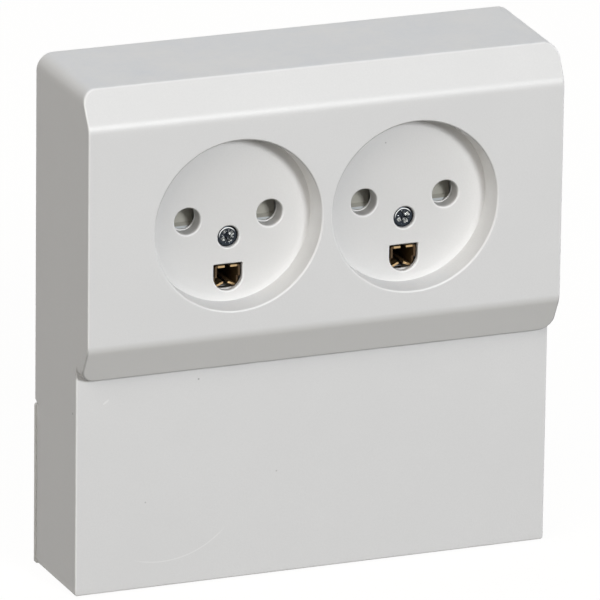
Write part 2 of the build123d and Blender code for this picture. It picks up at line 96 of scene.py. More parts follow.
CELL_RINGS = (1.0, 0.95, 0.9, 0.84, 0.77, 0.68, 0.57, 0.43, 0.28, 0.13, 0.04, 0.0)  # from outline to hole
STOP_LOW = radians(245)  # where the stop ring of a collar is widest

# Face screws in metres: edges of the cross with the width of their slope, depths, roundings and thread
ARM_HALF, ARM_REACH, WELL_RADIUS = (0.00036, 0.00034), (0.00135, 0.0006), (0.00075, 0.0004)
STROKE_HALF, STROKE_REACH = (0.00007, 0.00008), (0.0016, 0.0002)
ARM_DEPTH, WELL_DEPTH, STROKE_DEPTH = 0.00085, 0.001, 0.00016
HEAD_DOME, HEAD_ROUND = 0.00025, 0.0003
THREAD_PITCH, THREAD_DEPTH, THREAD_START, THREAD_END = 0.001, 0.00028, 0.0015, 0.001

# Springs: half the wire's thickness, turns, closed part of an end turn, pitch there in wires, room when flat
SPRING_WIRE, SPRING_TURNS, CLOSED_TURN, CLOSED_GAP, SPRING_SLACK = 0.00022, 5, 0.6, 1.02, 6e-5

# Moulded plastic: bounds of what faces up or down, the foot, depths of the holes' painted shade, and colours
FACING_UP, FACING_DOWN = (0.8, 0.97), (-0.4, 0.0)
FOOT_BAND = (-0.056, -0.054)
HOLE_SHADE_START, HOLE_SHADE_END = (0.0003, 0.0012), (0.0033, 0.0035)
# Painted shade: factors that make what faces down darker and warmer
UNDERSIDE_PAINTED_SHADE = (0.92, 0.91, 0.885)
# The first colour is the pale of scratches, and of edges, where it is partly wear and partly a painted highlight
PALE_WEAR_AND_HIGHLIGHT, DUST_GREY, SPECK_DARK = (0.95, 0.95, 0.95), (0.66, 0.69, 0.74), (0.09, 0.085, 0.08)

# Wear in metres: dark specks (point, radius, darkness), a pale nick (start, end, half width) and a pale
# curved scratch (centre, radius, middle, reach, half width)
COVER_SPECKS = (
    ((-0.02690, -0.0247, -0.01114), 0.00026, 0.42),
    ((-0.00850, -0.0247, -0.03446), 0.00022, 0.3),
    ((-0.03902, -0.0247, -0.03818), 0.00022, 0.3),
    ((-0.05525, -0.0227, -0.01651), 0.0003, 0.4),
)
COVER_STROKES = (((-0.04900, -0.0247, -0.01452), (-0.04760, -0.0247, -0.01350), 0.00022),)
COVER_BOWS = (((-0.03518, -0.0247, -0.03198), 0.02036, (-0.0300, -0.0247, -0.0517), 0.0118, 0.00019),)
FACE_SPECKS = (((0.01582, -0.02525, 0.03839), 0.00022, 0.35),)

# Bounds of a shutter's pale ramp, painted light, from the sockets' line, of the earth contact's rubbed ends from
# its middle and in depth, and of a screw's bright cross (wear and painted glints) and painted edge highlight from
# the head's dome and centre
RAMP_FOOT, RAMP_HEAD = (-0.00285, -0.0028), (-0.0025, -0.00245)
RUBBED_HALF, RUBBED_DEPTH = (0.0021, 0.00225), (-0.0228, -0.0215)
CROSS_START, CROSS_END, CROSS_REACH = (0.00006, 0.00016), (0.0008, 0.00098), (0.0015, 0.0016)
RIM_START, RIM_END, RIM_HIGH = (0.0018, 0.00186), (0.00196, 0.00202), (0.0003, 0.0013)
TARNISH_START, TARNISH_RUN = 0.0215, 0.012  # depth at which tarnish begins, and how far it grows

# Studio: half the floor and its lines, its glow, the tint of the surround, and the lamps with the setting of
# their power, degrees to the right of the front, degrees up, size and tint
FLOOR_HALF, FLOOR_LINES, FLOOR_GLOW = 4, 9, 0.95
SURROUND_TINT = (0.96, 0.98, 1.0, 1)
LAMP_TARGET, LAMP_REACH = Vector((0.0, -0.02, 0.01)), 2.5
LAMPS = {
    "front_lamp": ("front_power", 12, 20, 0.5, (0.972, 0.984, 1.0)),
    "left_lamp": ("left_power", -52, 31, 2.2, (1.0, 0.965, 0.91)),
    "top_lamp": ("top_power", 180, 70, 1.4, (0.95, 0.975, 1.0)),
}


def length(label, description, default):
    """A length in metres for the panel."""
    return FloatProperty(name=label, description=description, default=default, unit="LENGTH", precision=5)


def angle(label, description, degrees):
    """An angle for the panel."""
    return FloatProperty(name=label, description=description, default=radians(degrees), subtype="ANGLE")


def colour(label, description, default):
    """A linear colour for the panel."""
    return FloatVectorProperty(name=label, description=description, default=default, size=3,
                               subtype="COLOR", min=0.0, max=1.0)


def number(label, description, default):
    """A plain number for the panel."""
    return FloatProperty(name=label, description=description, default=default, precision=4)


class CoverSettings(PropertyGroup):
    """Sizes of the one-piece cover."""

    width: length("Width", "Width at the wall", 0.1113)
    height: length("Height", "Height at the wall", 0.117)
    front_depth: length("Front depth", "Depth of the raised front", 0.0315)
    plate_depth: length("Plate depth", "Depth of the flat lower plate", 0.0247)
    wall: length("Wall", "Wall thickness", 0.0022)
    draft: angle("Draft", "Slope of the sides", 1.0)
    corner_radius: length("Corner radius", "Rounding of the block's outline at the wall", 0.0038)
    foot_radius: length("Foot radius", "Rounding of the lower outline at the wall", 0.001)
    block_foot: length("Block foot", "Height of the raised block's lower edge", 0.0499)
    front_flat: length("Front flat", "Height of the flat front before blending", 0.05)
    upper_depth: length("Upper chamfer depth", "Depth over which the upper chamfer falls", 0.0048)
    upper_height: length("Upper chamfer height", "Height over which the upper chamfer falls", 0.0078)
    lower_depth: length("Lower chamfer depth", "Depth over which the lower chamfer falls", 0.0045)
    lower_height: length("Lower chamfer height", "Height over which the lower chamfer falls", 0.0083)
    blend_radius: length("Blend radius", "Rounding between front and chamfers", 0.0048)
    edge_round: length("Edge rounding", "Rounding of the outer edges", 0.00042)
    flange_gap: length("Flange gap", "Depth left for the base plate's flange", 0.00085)
    notch_height: length("Notch height", "Height of the dent in the back edge", 0.0372)
    notch_rise: length("Notch rise", "Height of the dent", 0.0009)
    notch_depth: length("Notch depth", "Depth of the dent", 0.0019)


class SocketSettings(PropertyGroup):
    """Sizes of the two recesses, their faces, screws and earth contacts."""

    spacing: length("Spacing", "Distance between the two sockets", 0.041)
    line_height: length("Line height", "Height of the socket centres above the bottom", 0.08375)
    mouth_radius: length("Mouth radius", "Radius of the recess at the front", 0.01925)
    rim_radius: length("Rim radius", "Rounding of the recess's mouth", 0.0004)
    seat_radius: length("Seat radius", "Radius of the recess round the face", 0.01885)
    rim_drop: length("Rim drop", "Depth of the sloping recess wall", 0.00525)
    recess_depth: length("Recess depth", "Depth of the floor below the front", 0.00625)
    ledge_width: length("Ledge width", "Width of the ledge behind the face", 0.0022)
    face_radius: length("Face radius", "Outer radius of the face", 0.018855)
    face_thickness: length("Face thickness", "Thickness of the face", 0.0012)
    dish_start: length("Dish start", "Radius at which the floor of the face begins to rise", 0.0172)
    rim_rise: length("Rim rise", "Height of the rim of the face above its floor", 0.0003)
    dish_run: length("Dish run", "Width of the curved rim of the face", 0.0015)
    pin_spacing: length("Pin spacing", "Distance between pin holes", 0.019)
    pin_radius: length("Pin hole radius", "Radius of a pin hole", 0.003)
    collar_wall: length("Collar wall", "Wall of a pin hole's collar", 0.0013)
    collar_depth: length("Collar depth", "Depth of a pin hole's collar", 0.004)
    stop_width: length("Stop width", "Width of the narrow ring at a collar's end", 0.00022)
    stop_height: length("Stop height", "Height of the narrow ring at a collar's end", 0.0005)
    hole_edge: length("Hole edge", "Rounding of the hole edges", 0.00036)
    screw_drop: length("Screw drop", "Screw centre below the pins", 0.00445)
    head_radius: length("Head radius", "Radius of the screw head", 0.00233)
    head_height: length("Head height", "Height of the screw head", 0.0016)
    head_sink: length("Head sink", "Depth of the head below the floor", 0.0005)
    head_clearance: length("Head clearance", "Gap round the screw head", 0.00012)
    shank_radius: length("Shank radius", "Radius of the screw's shank", 0.0015)
    shank_length: length("Shank length", "Length of the screw's shank", 0.0125)
    shank_clearance: length("Shank clearance", "Gap round the shank", 0.0002)
    boss_wall: length("Boss wall", "Wall round the screw head", 0.0014)
    shutter_travel: length("Shutter travel", "How far a shutter drops", 0.0064)
    earth_drop: length("Earth drop", "Earth hole centre below the pins", 0.01365)
    earth_width: length("Earth width", "Width of the earth hole", 0.0067)
    earth_height: length("Earth height", "Height of the earth hole", 0.0061)


class FinishSettings(PropertyGroup):
    """Colours and grain of the finishes."""

    cover_white: colour("Cover white", "Colour of the cover", (0.798, 0.798, 0.796))
    face_white: colour("Face white", "Colour of the socket faces", (0.77, 0.767, 0.759))
    shutter_grey: colour("Shutter", "Colour of the shutters", (0.41, 0.4, 0.352))
    # Painted light: the ramp's pale bluish colour is a pool of light
    ramp_painted_light: colour("Shutter ramp", "Colour of the polished ramp of a shutter", (0.72, 0.76, 0.79))
    inner_dark: colour("Inner moulding", "Colour of the contact carrier", (0.5, 0.505, 0.51))
    base_white: colour("Base white", "Colour of the base plate", (0.86, 0.86, 0.84))
    brass: colour("Brass", "Colour of the contacts", (0.46, 0.3, 0.12))
    brass_bare: colour("Bare brass", "Colour of the earth contact where it is rubbed", (0.6, 0.42, 0.22))
    brass_brown: colour("Browned brass", "Colour of the earth contact elsewhere", (0.09, 0.052, 0.02))
    # Painted reflection: the zinc is dark in place of the dark surroundings the screws reflect
    zinc: colour("Zinc", "Colour of the plated screws", (0.035, 0.042, 0.052))
    # Bright where the face screws' cross is partly wear and partly painted glints, and on their painted highlight
    # arc
    zinc_worn_glint: colour("Worn zinc", "Colour of the plating where it is worn", (0.93, 0.94, 0.92))
    wire: colour("Wire", "Colour of the spring wire", (0.42, 0.42, 0.42))
    grain: length("Grain", "Size of the moulded grain", 0.00042)


class StageSettings(PropertyGroup):
    """Camera, light and background."""

    azimuth: angle("Azimuth", "Camera to the left of straight on", 21.604)
    elevation: angle("Elevation", "Camera above the horizon", 18.610)
    roll: angle("Roll", "Camera roll", 0.752)
    distance: length("Distance", "Camera to target", 2.0346)
    lens: number("Lens", "Focal length in millimetres", 558.46)
    target: FloatVectorProperty(name="Target", description="Point in the middle of the picture", size=3,
                                subtype="XYZ", default=(0.000365, -0.015, 0.00084))
    ambient: number("Ambient", "Light from all round", 0.02)
    front_power: number("Front lamp", "Power of the front lamp in watts", 37.8)
    left_power: number("Left lamp", "Power of the high left lamp in watts", 31.5)
    top_power: number("Top lamp", "Power of the overhead lamp in watts", 18.0)
    floor_white: colour("Floor", "Colour of the floor", (0.08, 0.075, 0.067))


# Surface kit


def lattice(rows, cols, closed):
    """Quads between neighbouring points of a grid, row by row; closed joins the last column to the first."""
    row = np.arange(rows - 1)[:, None]
    col = np.arange(cols if closed else cols - 1)[None, :]
    here = row * cols + col
    beside = row * cols + (col + 1) % cols
    return np.stack([here, beside, beside + cols, here + cols], -1).reshape(-1, 4)


def patch(points, toward, closed=False):
    """A grid of points as quads that face a direction.

    The summed dot product of the quads' normals and the direction decides which way round they go.
    """
    points = np.asarray(points, float)
    rows, cols = points.shape[:2]
    quads = lattice(rows, cols, closed)
    flat = points.reshape(-1, 3)
    facing = np.broadcast_to(np.asarray(toward, float), points.shape).reshape(-1, 3)
    corners = flat[quads]
    normals = np.cross(corners[:, 2] - corners[:, 0], corners[:, 3] - corners[:, 1])
    if (normals * facing[quads[:, 0]]).sum() < 0:
        quads = quads[:, ::-1]
    return flat, quads


def closed_patch(points, toward):
    """A patch whose last column joins its first."""
    return patch(points, toward, closed=True)


def weld(patches):
    """Patches joined where their points coincide; quads that lose a corner become triangles."""
    counts = np.cumsum([0] + [len(points) for points, _ in patches])
    points = np.concatenate([points for points, _ in patches])
    quads = np.concatenate([quads + start for (_, quads), start in zip(patches, counts)])
    cells = np.round(points / WELD_STEP).astype(np.int64)
    _, first, index = np.unique(cells, axis=0, return_index=True, return_inverse=True)
    quads = index.reshape(-1)[quads]
    kept = quads != np.roll(quads, -1, axis=1)
    sizes = kept.sum(1)
    whole = quads[sizes == 4]
    halves = quads[sizes == 3][kept[sizes == 3]].reshape(-1, 3)
    return points[first], whole, halves


def outer_edges(points, whole, halves):
    """One at points on tight outward bends, zero on flats, gentle curves and inward corners.

    The bend is the mean length of the difference between a point's normal and its faces' normals. It counts
    where the faces' centres lie, on the whole, below the point's tangent plane.
    """
    corners = np.concatenate([whole, halves[:, [0, 1, 2, 2]]])
    spans = points[corners]
    normals = np.cross(spans[:, 2] - spans[:, 0], spans[:, 3] - spans[:, 1])
    normals /= np.maximum(np.linalg.norm(normals, axis=1), 1e-18)[:, None]
    mean, fall, bend, count = np.zeros_like(points), *np.zeros((3, len(points)))
    np.add.at(mean, corners, normals[:, None])
    mean /= np.maximum(np.linalg.norm(mean, axis=1), 1e-9)[:, None]
    np.add.at(fall, corners, ((spans - spans.mean(1)[:, None]) * mean[corners]).sum(-1))
    np.add.at(bend, corners, np.linalg.norm(normals[:, None] - mean[corners], axis=-1))
    np.add.at(count, corners, 1)
    return np.clip((bend / count - PALE_EDGE_BEND) / PALE_EDGE_RUN, 0, 1) * (fall > 0)


def make_piece(name, patches, material, sharp=SHARP_BEND):
    """A welded mesh as a piece that rides on the housing, smooth apart from its sharp edges."""
    points, whole, halves = weld(patches)
    mesh = bpy.data.meshes.new(name)
    mesh.from_pydata(points, [], whole.tolist() + halves.tolist())
    mesh.update()
    edge = mesh.attributes.new("edge", "FLOAT", "POINT")
    edge.data.foreach_set("value", outer_edges(points, whole, halves))
    mesh.shade_smooth()
    mesh.set_sharp_from_angle(angle=sharp)
    mesh.materials.append(finishes()[material])
    piece = bpy.data.objects.new(name, mesh)
    bpy.context.collection.objects.link(piece)
    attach(piece, HOUSING)
    return piece


def around(x, z, angles, radius, depth):
    """Points round a line out of the wall: x and z move by the radius along each angle, y is minus the depth."""
    angles, radius, depth = np.broadcast_arrays(angles, radius, depth)
    return np.stack([x + radius * np.cos(angles), -depth, z + radius * np.sin(angles)], -1)


def sectioned(x, z, angles, section):
    """A section of radius and depth pairs turned round a line out of the wall."""
    section = np.asarray(section, float)
    return around(x, z, angles[None, :], section[:, :1], section[:, 1:])


def radial_out(angles, rows):
    """Unit vectors away from the line, one for each angle, repeated for the rows."""
    out = np.stack([np.cos(angles), np.zeros_like(angles), np.sin(angles)], -1)
    return np.broadcast_to(out, (rows, *out.shape))


def rounded_corner(before, corner, after, radius, count):
    """Arc that rounds a corner of a line in the plane, from its side before to its side after."""
    before, corner, after = (np.asarray(p, float) for p in (before, corner, after))
    back = (before - corner) / np.linalg.norm(before - corner)
    ahead = (after - corner) / np.linalg.norm(after - corner)
    half = np.arccos(back @ ahead) / 2
    centre = corner + (back + ahead) / np.linalg.norm(back + ahead) * radius / np.sin(half)
    start = corner + back * radius / np.tan(half) - centre
    end = corner + ahead * radius / np.tan(half) - centre
    sweep = np.arccos(start @ end / radius ** 2)
    share = np.linspace(0, 1, count)[:, None]
    return centre + (start * np.sin((1 - share) * sweep) + end * np.sin(share * sweep)) / np.sin(sweep)


def mirrored(part):
    """A patch mirrored left to right, with its quads turned round again."""
    points, quads = part
    return points * (-1, 1, 1), quads[:, ::-1]


def panel_loop(columns, levels):
    """Points round a half panel, anticlockwise from its lower inner corner, as x and z."""
    low, high = levels[0], levels[-1]
    inner = levels[1:-1]
    x = np.concatenate([columns, np.full_like(inner, columns[-1]), columns[::-1], np.full_like(inner, columns[0])])
    z = np.concatenate([np.full_like(columns, low), inner, np.full_like(columns, high), inner[::-1]])
    return x, z


def softened(front, edge, wall):
    """Rounded edge: for every point a quadratic curve from the front to the wall, drawn to the sharp edge."""
    share = np.linspace(0, 1, ROUND_POINTS)[:, None, None]
    return (1 - share) ** 2 * front + 2 * share * (1 - share) * edge + share ** 2 * wall


def spots(x, depth, z):
    """Points from sideways places, depths and heights."""
    x, depth, z = np.broadcast_arrays(x, depth, z)
    return np.stack([x, -depth, z], -1)


def socket_line(c, s):
    """Height of the sockets' centres above the cover's middle."""
    return -c.height / 2 + s.line_height


def face_floor(c, s):
    """Depth of the floor of the faces."""
    return c.front_depth - s.recess_depth


def cover_patches(c, s):
    """Outer skin of the cover as one open sheet.

    The block's outline at a depth is a rectangle grown by a radius that shrinks with the draft. Its front is
    a profile in depth and height, with a flat panel drawn from rectangle to circle round each recess. Columns
    run back from each edge point along the drafted wall, and a rounded strip joins them to the front.
    """
    slope = tan(c.draft)
    soft = c.edge_round
    back_edge = c.wall * slope
    bottom = -c.height / 2
    line = socket_line(c, s)
    side = c.width / 2 - c.corner_radius
    upper = c.height / 2 - c.corner_radius
    lower = bottom + c.block_foot + c.corner_radius
    front, plate = c.front_depth, c.plate_depth
    shared = (plate, plate - PLATE_ROW, *WALL_ROWS)
    rise, fall = c.upper_height / c.upper_depth, c.lower_height / c.lower_depth
    high, low = line + c.front_flat / 2, line - c.front_flat / 2
    turn = np.linspace(0, pi / 2, CORNER_POINTS)
    swerve, bend = np.cos(turn), np.sin(turn)

    def corner_rows(radius):
        """Depth and height where each chamfer's plane meets a drafted corner of a radius, by angle."""
        top = (high + front * rise - upper - radius * bend) / (rise - slope * bend)
        foot = (low - front * fall - lower + radius * bend) / (slope * bend - fall)
        return top, upper + (radius - top * slope) * bend, foot, lower - (radius - foot * slope) * bend

    def front_lines(far, near, end):
        """Depths and heights from the flat front to a chamfer's end: a rounded blend, then even steps."""
        blend = rounded_corner((front, far), (front, near), end, c.blend_radius, BLEND_POINTS)
        between = np.linspace(0, 1, 5)[1:-1, None]
        return np.concatenate([blend, blend[-1] + between * (np.array(end) - blend[-1])])

    def border(depth):
        """Radius of the block's corner at a depth, less the rounding of its edge."""
        return c.corner_radius - soft - depth * slope

    def depth_rows(heads, rows, end=None):
        """Depths of a wall's rows at each place: its heads, the set rows, one close to its end, and the end."""
        level = np.ones_like(heads[0])
        last = [] if end is None else [end * level + LAST_ROW, end * level]
        return np.stack([*heads, *(row * level for row in rows), *last])

    def walls(x, z, across, along, radius, depths):
        """Drafted wall: places plus outward directions times the radius that is left at each depth."""
        grow = radius - depths * slope
        toward = np.stack(np.broadcast_arrays(across, 0.0, along), -1)
        points = spots(x + across * grow, depths, z + along * grow)
        return patch(points, np.broadcast_to(toward, points.shape))

    def edge_strip(begin, x, z, across, along, radius, depth, round_off):
        """Rounded strip from the front's border over the sharp edge to the head of the wall."""
        head = depth - round_off
        edge = spots(x + across * (radius - depth * slope), depth, z + along * (radius - depth * slope))
        wall = spots(x + across * (radius - head * slope), head, z + along * (radius - head * slope))
        toward = np.stack(np.broadcast_arrays(across, -1.0, along), -1)
        return patch(softened(begin, edge, wall), toward)

    def edged_wall(begin, x, z, across, along, radius, depth, depths):
        """A rounded strip and the wall behind it."""
        return [edge_strip(begin, x, z, across, along, radius, depth, soft),
                walls(x, z, across, along, radius, depths)]

    # Rows of the front: blend, chamfer, then corner rows by angle; the sharp edge has rows of its own
    top_depth, top_z, foot_depth, foot_z = corner_rows(c.corner_radius - soft)
    top_edge, _, foot_edge, _ = corner_rows(c.corner_radius)
    top_lines = front_lines(low, high, (top_depth[0], top_z[0]))
    foot_lines = front_lines(high, low, (foot_depth[0], foot_z[0]))
    bow = np.concatenate([np.ones(len(top_lines)), swerve])
    reach = side + c.corner_radius - front * slope - soft

    # Columns and levels that keep the recess rings even
    half = s.spacing / 2
    drop = (top_lines[0, 1] - foot_lines[0, 1]) / 2
    swing = np.linspace(np.arctan2(-half, drop), np.arctan2(reach - half, drop), PANEL_COLUMNS)
    columns = half + drop * np.tan(swing)
    columns[0], columns[-1] = 0.0, reach
    share = np.concatenate([-columns[:0:-1], columns]) / reach
    levels = line + half * np.tan(np.linspace(-1, 1, PANEL_LEVELS) * np.arctan2(drop, half))
    levels[0], levels[-1] = foot_lines[0, 1], top_lines[0, 1]

    parts = []
    for lines, depth, z in ((top_lines, top_depth, top_z), (foot_lines, foot_depth, foot_z)):
        depth, z = np.concatenate([lines[:, 0], depth]), np.concatenate([lines[:, 1], z])
        edge = side + border(depth) * bow
        parts.append(patch(spots(edge[:, None] * share, depth[:, None], z[:, None]), OUT))

    # Flat panel with a round recess in each half
    loop_x, loop_z = panel_loop(columns, levels)
    angles = np.arctan2(loop_z - line, loop_x - half)
    rim = around(half, line, angles, s.mouth_radius + s.rim_radius, front)
    outline = spots(loop_x, front, loop_z)
    panel = closed_patch(rim + (outline - rim) * np.reshape(PANEL_RINGS, (-1, 1, 1)), OUT)
    ledge = s.seat_radius - s.ledge_width
    seat = face_floor(c, s) - s.face_thickness
    curl = np.linspace(0, pi / 2, ROUND_POINTS)
    nose = np.stack([s.mouth_radius + s.rim_radius * (1 - np.sin(curl)),
                     front - s.rim_radius * (1 - np.cos(curl))], 1)
    cone = np.linspace(nose[-1], (s.seat_radius, front - s.rim_drop), 6)
    wall = np.concatenate([nose, cone[1:], [(s.seat_radius, seat)]])
    recess = closed_patch(sectioned(half, line, angles, wall), OUT - radial_out(angles, len(wall)))
    shelf = closed_patch(sectioned(half, line, angles, [(s.seat_radius, seat), (ledge, seat)]), OUT)
    for part in (panel, recess, shelf):
        parts += [part, mirrored(part)]

    # Edges and walls of the block: sides with the upper corners, lower corners, then the top and the underside
    flat_lines = np.stack([np.full_like(levels, front), levels], 1)
    straight = np.concatenate([foot_lines[:0:-1], flat_lines, top_lines[1:]])
    side_z = np.concatenate([foot_z[:1], straight[:, 1], np.full_like(turn, upper)])
    depth = np.concatenate([foot_edge[:1], straight[:, 0], top_edge])
    outer = np.concatenate([foot_depth[:1], straight[:, 0], top_depth])
    across = np.concatenate([np.ones(1 + len(straight)), swerve])
    along = np.concatenate([np.zeros(1 + len(straight)), bend])
    begin = spots(side + border(outer) * across, outer, side_z + border(outer) * along)
    flank = edged_wall(begin, side, side_z, across, along, c.corner_radius, depth,
                       depth_rows([depth - soft, depth - FIRST_ROW], shared, back_edge))
    begin = spots(side + border(foot_depth) * swerve, foot_depth, lower - border(foot_depth) * bend)
    flank += edged_wall(begin, side, lower, swerve, -bend, c.corner_radius, foot_edge,
                        depth_rows([foot_edge - soft, foot_edge - FIRST_ROW], shared[:1]))
    parts += flank + [mirrored(part) for part in flank]
    middle = side * share
    nil, one = np.zeros_like(middle), np.ones_like(middle)
    for outer, z, depth, place, up, ending in (
            (top_depth[-1], top_z[-1], top_edge[-1] * one, upper, one, (shared, back_edge)),
            (foot_depth[-1], foot_z[-1], foot_edge[-1] * one, lower, -one, (shared[:1],))):
        parts += edged_wall(spots(middle, outer, z), middle, place, nil, up, c.corner_radius, depth,
                            depth_rows([depth - soft, depth - FIRST_ROW], *ending))

    # Lower plate: its front reaches up to the block, its walls run back to the flange
    left = c.corner_radius - plate * slope
    edge = side + left * swerve
    x = np.concatenate([-edge[:-1], middle, edge[-2::-1]])
    arch = lower - left * bend[:-1]
    top = np.concatenate([arch, np.full_like(middle, lower - left), arch[::-1]])
    inner, foot = c.width / 2 - c.foot_radius, bottom + c.foot_radius
    stub = c.foot_radius - plate * slope
    notch = bottom + c.notch_height
    span = lower - foot
    rows = np.array([0, 0.02, 0.1, 0.25, 0.45, 0.6, (notch - foot) / span, (notch + c.notch_rise - foot) / span,
                     0.8, 0.88, 0.91, 0.93, *np.linspace(0.94, 1.0, 7)])
    lean = np.clip((np.abs(x) * (1 - soft / edge[0]) - inner) / (stub - soft), 0, 1)
    upright = np.sqrt(1 - lean ** 2)
    base = foot - (stub - soft) * upright
    z = base + rows[:, None] * (top - base)
    # The rounding of the side edges runs out towards the block, within the sliver beside its round corner
    fade = soft * np.tanh((lower - z) ** 2 / (4 * left * soft)) * (rows < 1)[:, None]
    narrow = x * (1 - fade / edge[0])
    parts.append(patch(spots(narrow, plate, z), OUT))
    heights, fade = z[:, -1], fade[:, -1]
    nil, one = np.zeros_like(heights), np.ones_like(heights)
    flank = [edge_strip(spots(narrow[:, -1], plate, heights), inner, heights, one, nil, c.foot_radius,
                        plate * one, fade)]
    # The dent is the step between the walls below it, which end at the flange, and those above it
    dent = np.clip((notch + c.notch_rise - heights) / c.notch_rise, 0, 1) * c.notch_depth
    for chosen, end in ((heights < notch + WELD_STEP, c.flange_gap),
                        (heights > notch - WELD_STEP, np.maximum(dent, back_edge))):
        depths = depth_rows([plate - fade], shared[1:], end)[:, chosen]
        flank.append(walls(inner, heights[chosen], one[chosen], nil[chosen], c.foot_radius, depths))
    parts += flank + [mirrored(part) for part in flank]
    place = np.clip(narrow[0], -inner, inner)
    depth = np.full_like(x, plate)
    parts += edged_wall(spots(narrow[0], plate, base), place, foot, np.sign(x) * lean, -upright, c.foot_radius,
                        depth, depth_rows([depth - soft], shared[1:], c.flange_gap))
    return parts


def face_patches(c, s, x):
    """One socket face as a closed solid.

    The floor is four cells, each drawn from its outline to the hole in it. Its height grows with the
    square of the distance past a flat middle, up to the rim. Each hole has a rounded edge and a
    wall, and the pin and screw holes a collar behind.
    """
    line, floor = socket_line(c, s), face_floor(c, s)
    back = floor - s.face_thickness
    flat = s.face_radius - s.dish_run
    crossing = np.sqrt(flat ** 2 - STRIP_HALF ** 2)
    opening = np.arctan2(crossing, STRIP_HALF)

    def lifted(points):
        """Points moved out by the rise of the dish at their distance from the centre."""
        away = np.hypot(points[..., 0] - x, points[..., 2] - line)
        up = s.rim_rise * np.clip((away - s.dish_start) / (s.face_radius - s.dish_start), 0, 1) ** 2
        return points + up[..., None] * OUT

    def arc(start, end, count):
        """Points of the circle round the flat middle between two angles."""
        swing = np.linspace(start, end, count)
        return np.stack([flat * np.cos(swing), flat * np.sin(swing)], 1)

    def ring(*runs):
        """Runs of points joined into one closed outline, each without its last point."""
        return np.concatenate([run[:-1] for run in runs])

    right_arc = arc(-opening, opening, 97)
    top_arc = arc(opening, pi - opening, 25)
    left_arc = arc(pi - opening, pi + opening, 97)
    foot_arc = arc(pi + opening, 2 * pi - opening, 25)
    tall = np.linspace((STRIP_HALF, STRIP_SPLIT), (STRIP_HALF, crossing), 61)
    short = np.linspace((STRIP_HALF, -crossing), (STRIP_HALF, STRIP_SPLIT), 17)
    level = np.linspace((-STRIP_HALF, STRIP_SPLIT), (STRIP_HALF, STRIP_SPLIT), 25)
    flip = np.array((-1, 1))

    pin, collar = s.pin_spacing / 2, s.pin_radius + s.collar_wall
    collar_end = floor - s.collar_depth
    stop_seat = collar_end + s.stop_height
    head_hole = s.head_radius + s.head_clearance
    head_seat = floor - s.head_sink - s.head_height
    earth_flank = s.earth_height - s.earth_width / 2
    earth_z = -s.earth_drop + s.earth_height / 2 - earth_flank

    def earth_radius(angles):
        """Distance from the centre of the earth hole's round end to its edge along each angle."""
        rise = np.maximum(np.sin(angles), 1e-6)
        across = np.maximum(np.abs(np.cos(angles)), 1e-6)
        box = np.minimum(s.earth_width / 2 / across, earth_flank / rise)
        return np.where(np.sin(angles) > 0, box, s.earth_width / 2)

    def stop(angles):
        """Bore of a collar's end: the stop ring is widest low down and runs out towards the top."""
        return s.pin_radius - s.stop_width * (0.5 + 0.5 * np.cos(angles - STOP_LOW)) ** 2

    def shank(angles):
        """Bore for a screw's shank."""
        return np.full_like(angles, s.shank_radius + s.shank_clearance)

    # Each cell: its outline, its hole's place, radius, wall behind, bore at its end, and depth of its seat
    cells = (
        (ring(right_arc, tall[::-1], short[::-1]), (pin, 0.0), s.pin_radius, collar, stop, stop_seat),
        (ring(left_arc, short * flip, tall * flip), (-pin, 0.0), s.pin_radius, collar, stop, stop_seat),
        (ring(tall, top_arc, tall[::-1] * flip, level), (0.0, -s.screw_drop), head_hole,
         head_hole + s.boss_wall, shank, head_seat),
        (ring(short, level[::-1], short[::-1] * flip, foot_arc), (0.0, earth_z), earth_radius,
         None, None, back),
    )
    parts = []
    share = np.reshape(CELL_RINGS, (-1, 1, 1))
    curl = np.linspace(0, pi / 2, ROUND_POINTS)[:, None]
    for outline, hole, radius, outer, bore, seat in cells:
        angles = np.arctan2(outline[:, 1] - hole[1], outline[:, 0] - hole[0])
        radius = radius(angles) if callable(radius) else np.full_like(angles, radius)
        at = partial(around, x + hole[0], line + hole[1], angles)
        edge = spots(x + outline[:, 0], 0.0, line + outline[:, 1])
        inward = -radial_out(angles, 1)
        lip = at(radius + s.hole_edge, 0.0)
        rounding = lifted(at(radius + s.hole_edge * (1 - np.sin(curl)),
                             floor - s.hole_edge * (1 - np.cos(curl))))
        sides = seat + (-rounding[-1, :, 1] - seat) * np.linspace(1, 0, 5)[:, None]
        parts += [closed_patch(lifted(lip + (edge - lip) * share + floor * OUT), OUT),
                  closed_patch(rounding, inward + OUT),
                  closed_patch(at(radius, sides), inward)]
        end = collar_end if outer else back
        if bore:
            wide, radius = radius, bore(angles)
            parts += [closed_patch(at(np.stack([wide, radius]), seat), OUT),
                      closed_patch(at(radius, np.array([[seat], [end]])), inward)]
        behind = radius
        if outer:
            behind = np.full_like(radius, outer)
            parts += [closed_patch(at(np.stack([radius, behind]), end), BACK),
                      closed_patch(at(behind, np.array([[end], [back]])), -inward)]
        lip = at(behind, 0.0)
        parts.append(closed_patch(lip + (edge - lip) * share + back * OUT, BACK))

    # Curved rim, outer wall and the ring behind them
    rim = ring(right_arc, top_arc, left_arc, foot_arc)
    angles = np.arctan2(rim[:, 1], rim[:, 0])
    dish = around(x, line, angles, np.linspace(flat, s.face_radius, 16)[:, None], floor)
    outside = [(s.face_radius, floor + s.rim_rise), (s.face_radius, back)]
    return parts + [
        closed_patch(lifted(dish), OUT),
        closed_patch(sectioned(x, line, angles, outside), radial_out(angles, 2)),
        closed_patch(sectioned(x, line, angles, [(s.face_radius, back), (flat, back)]), BACK),
    ]


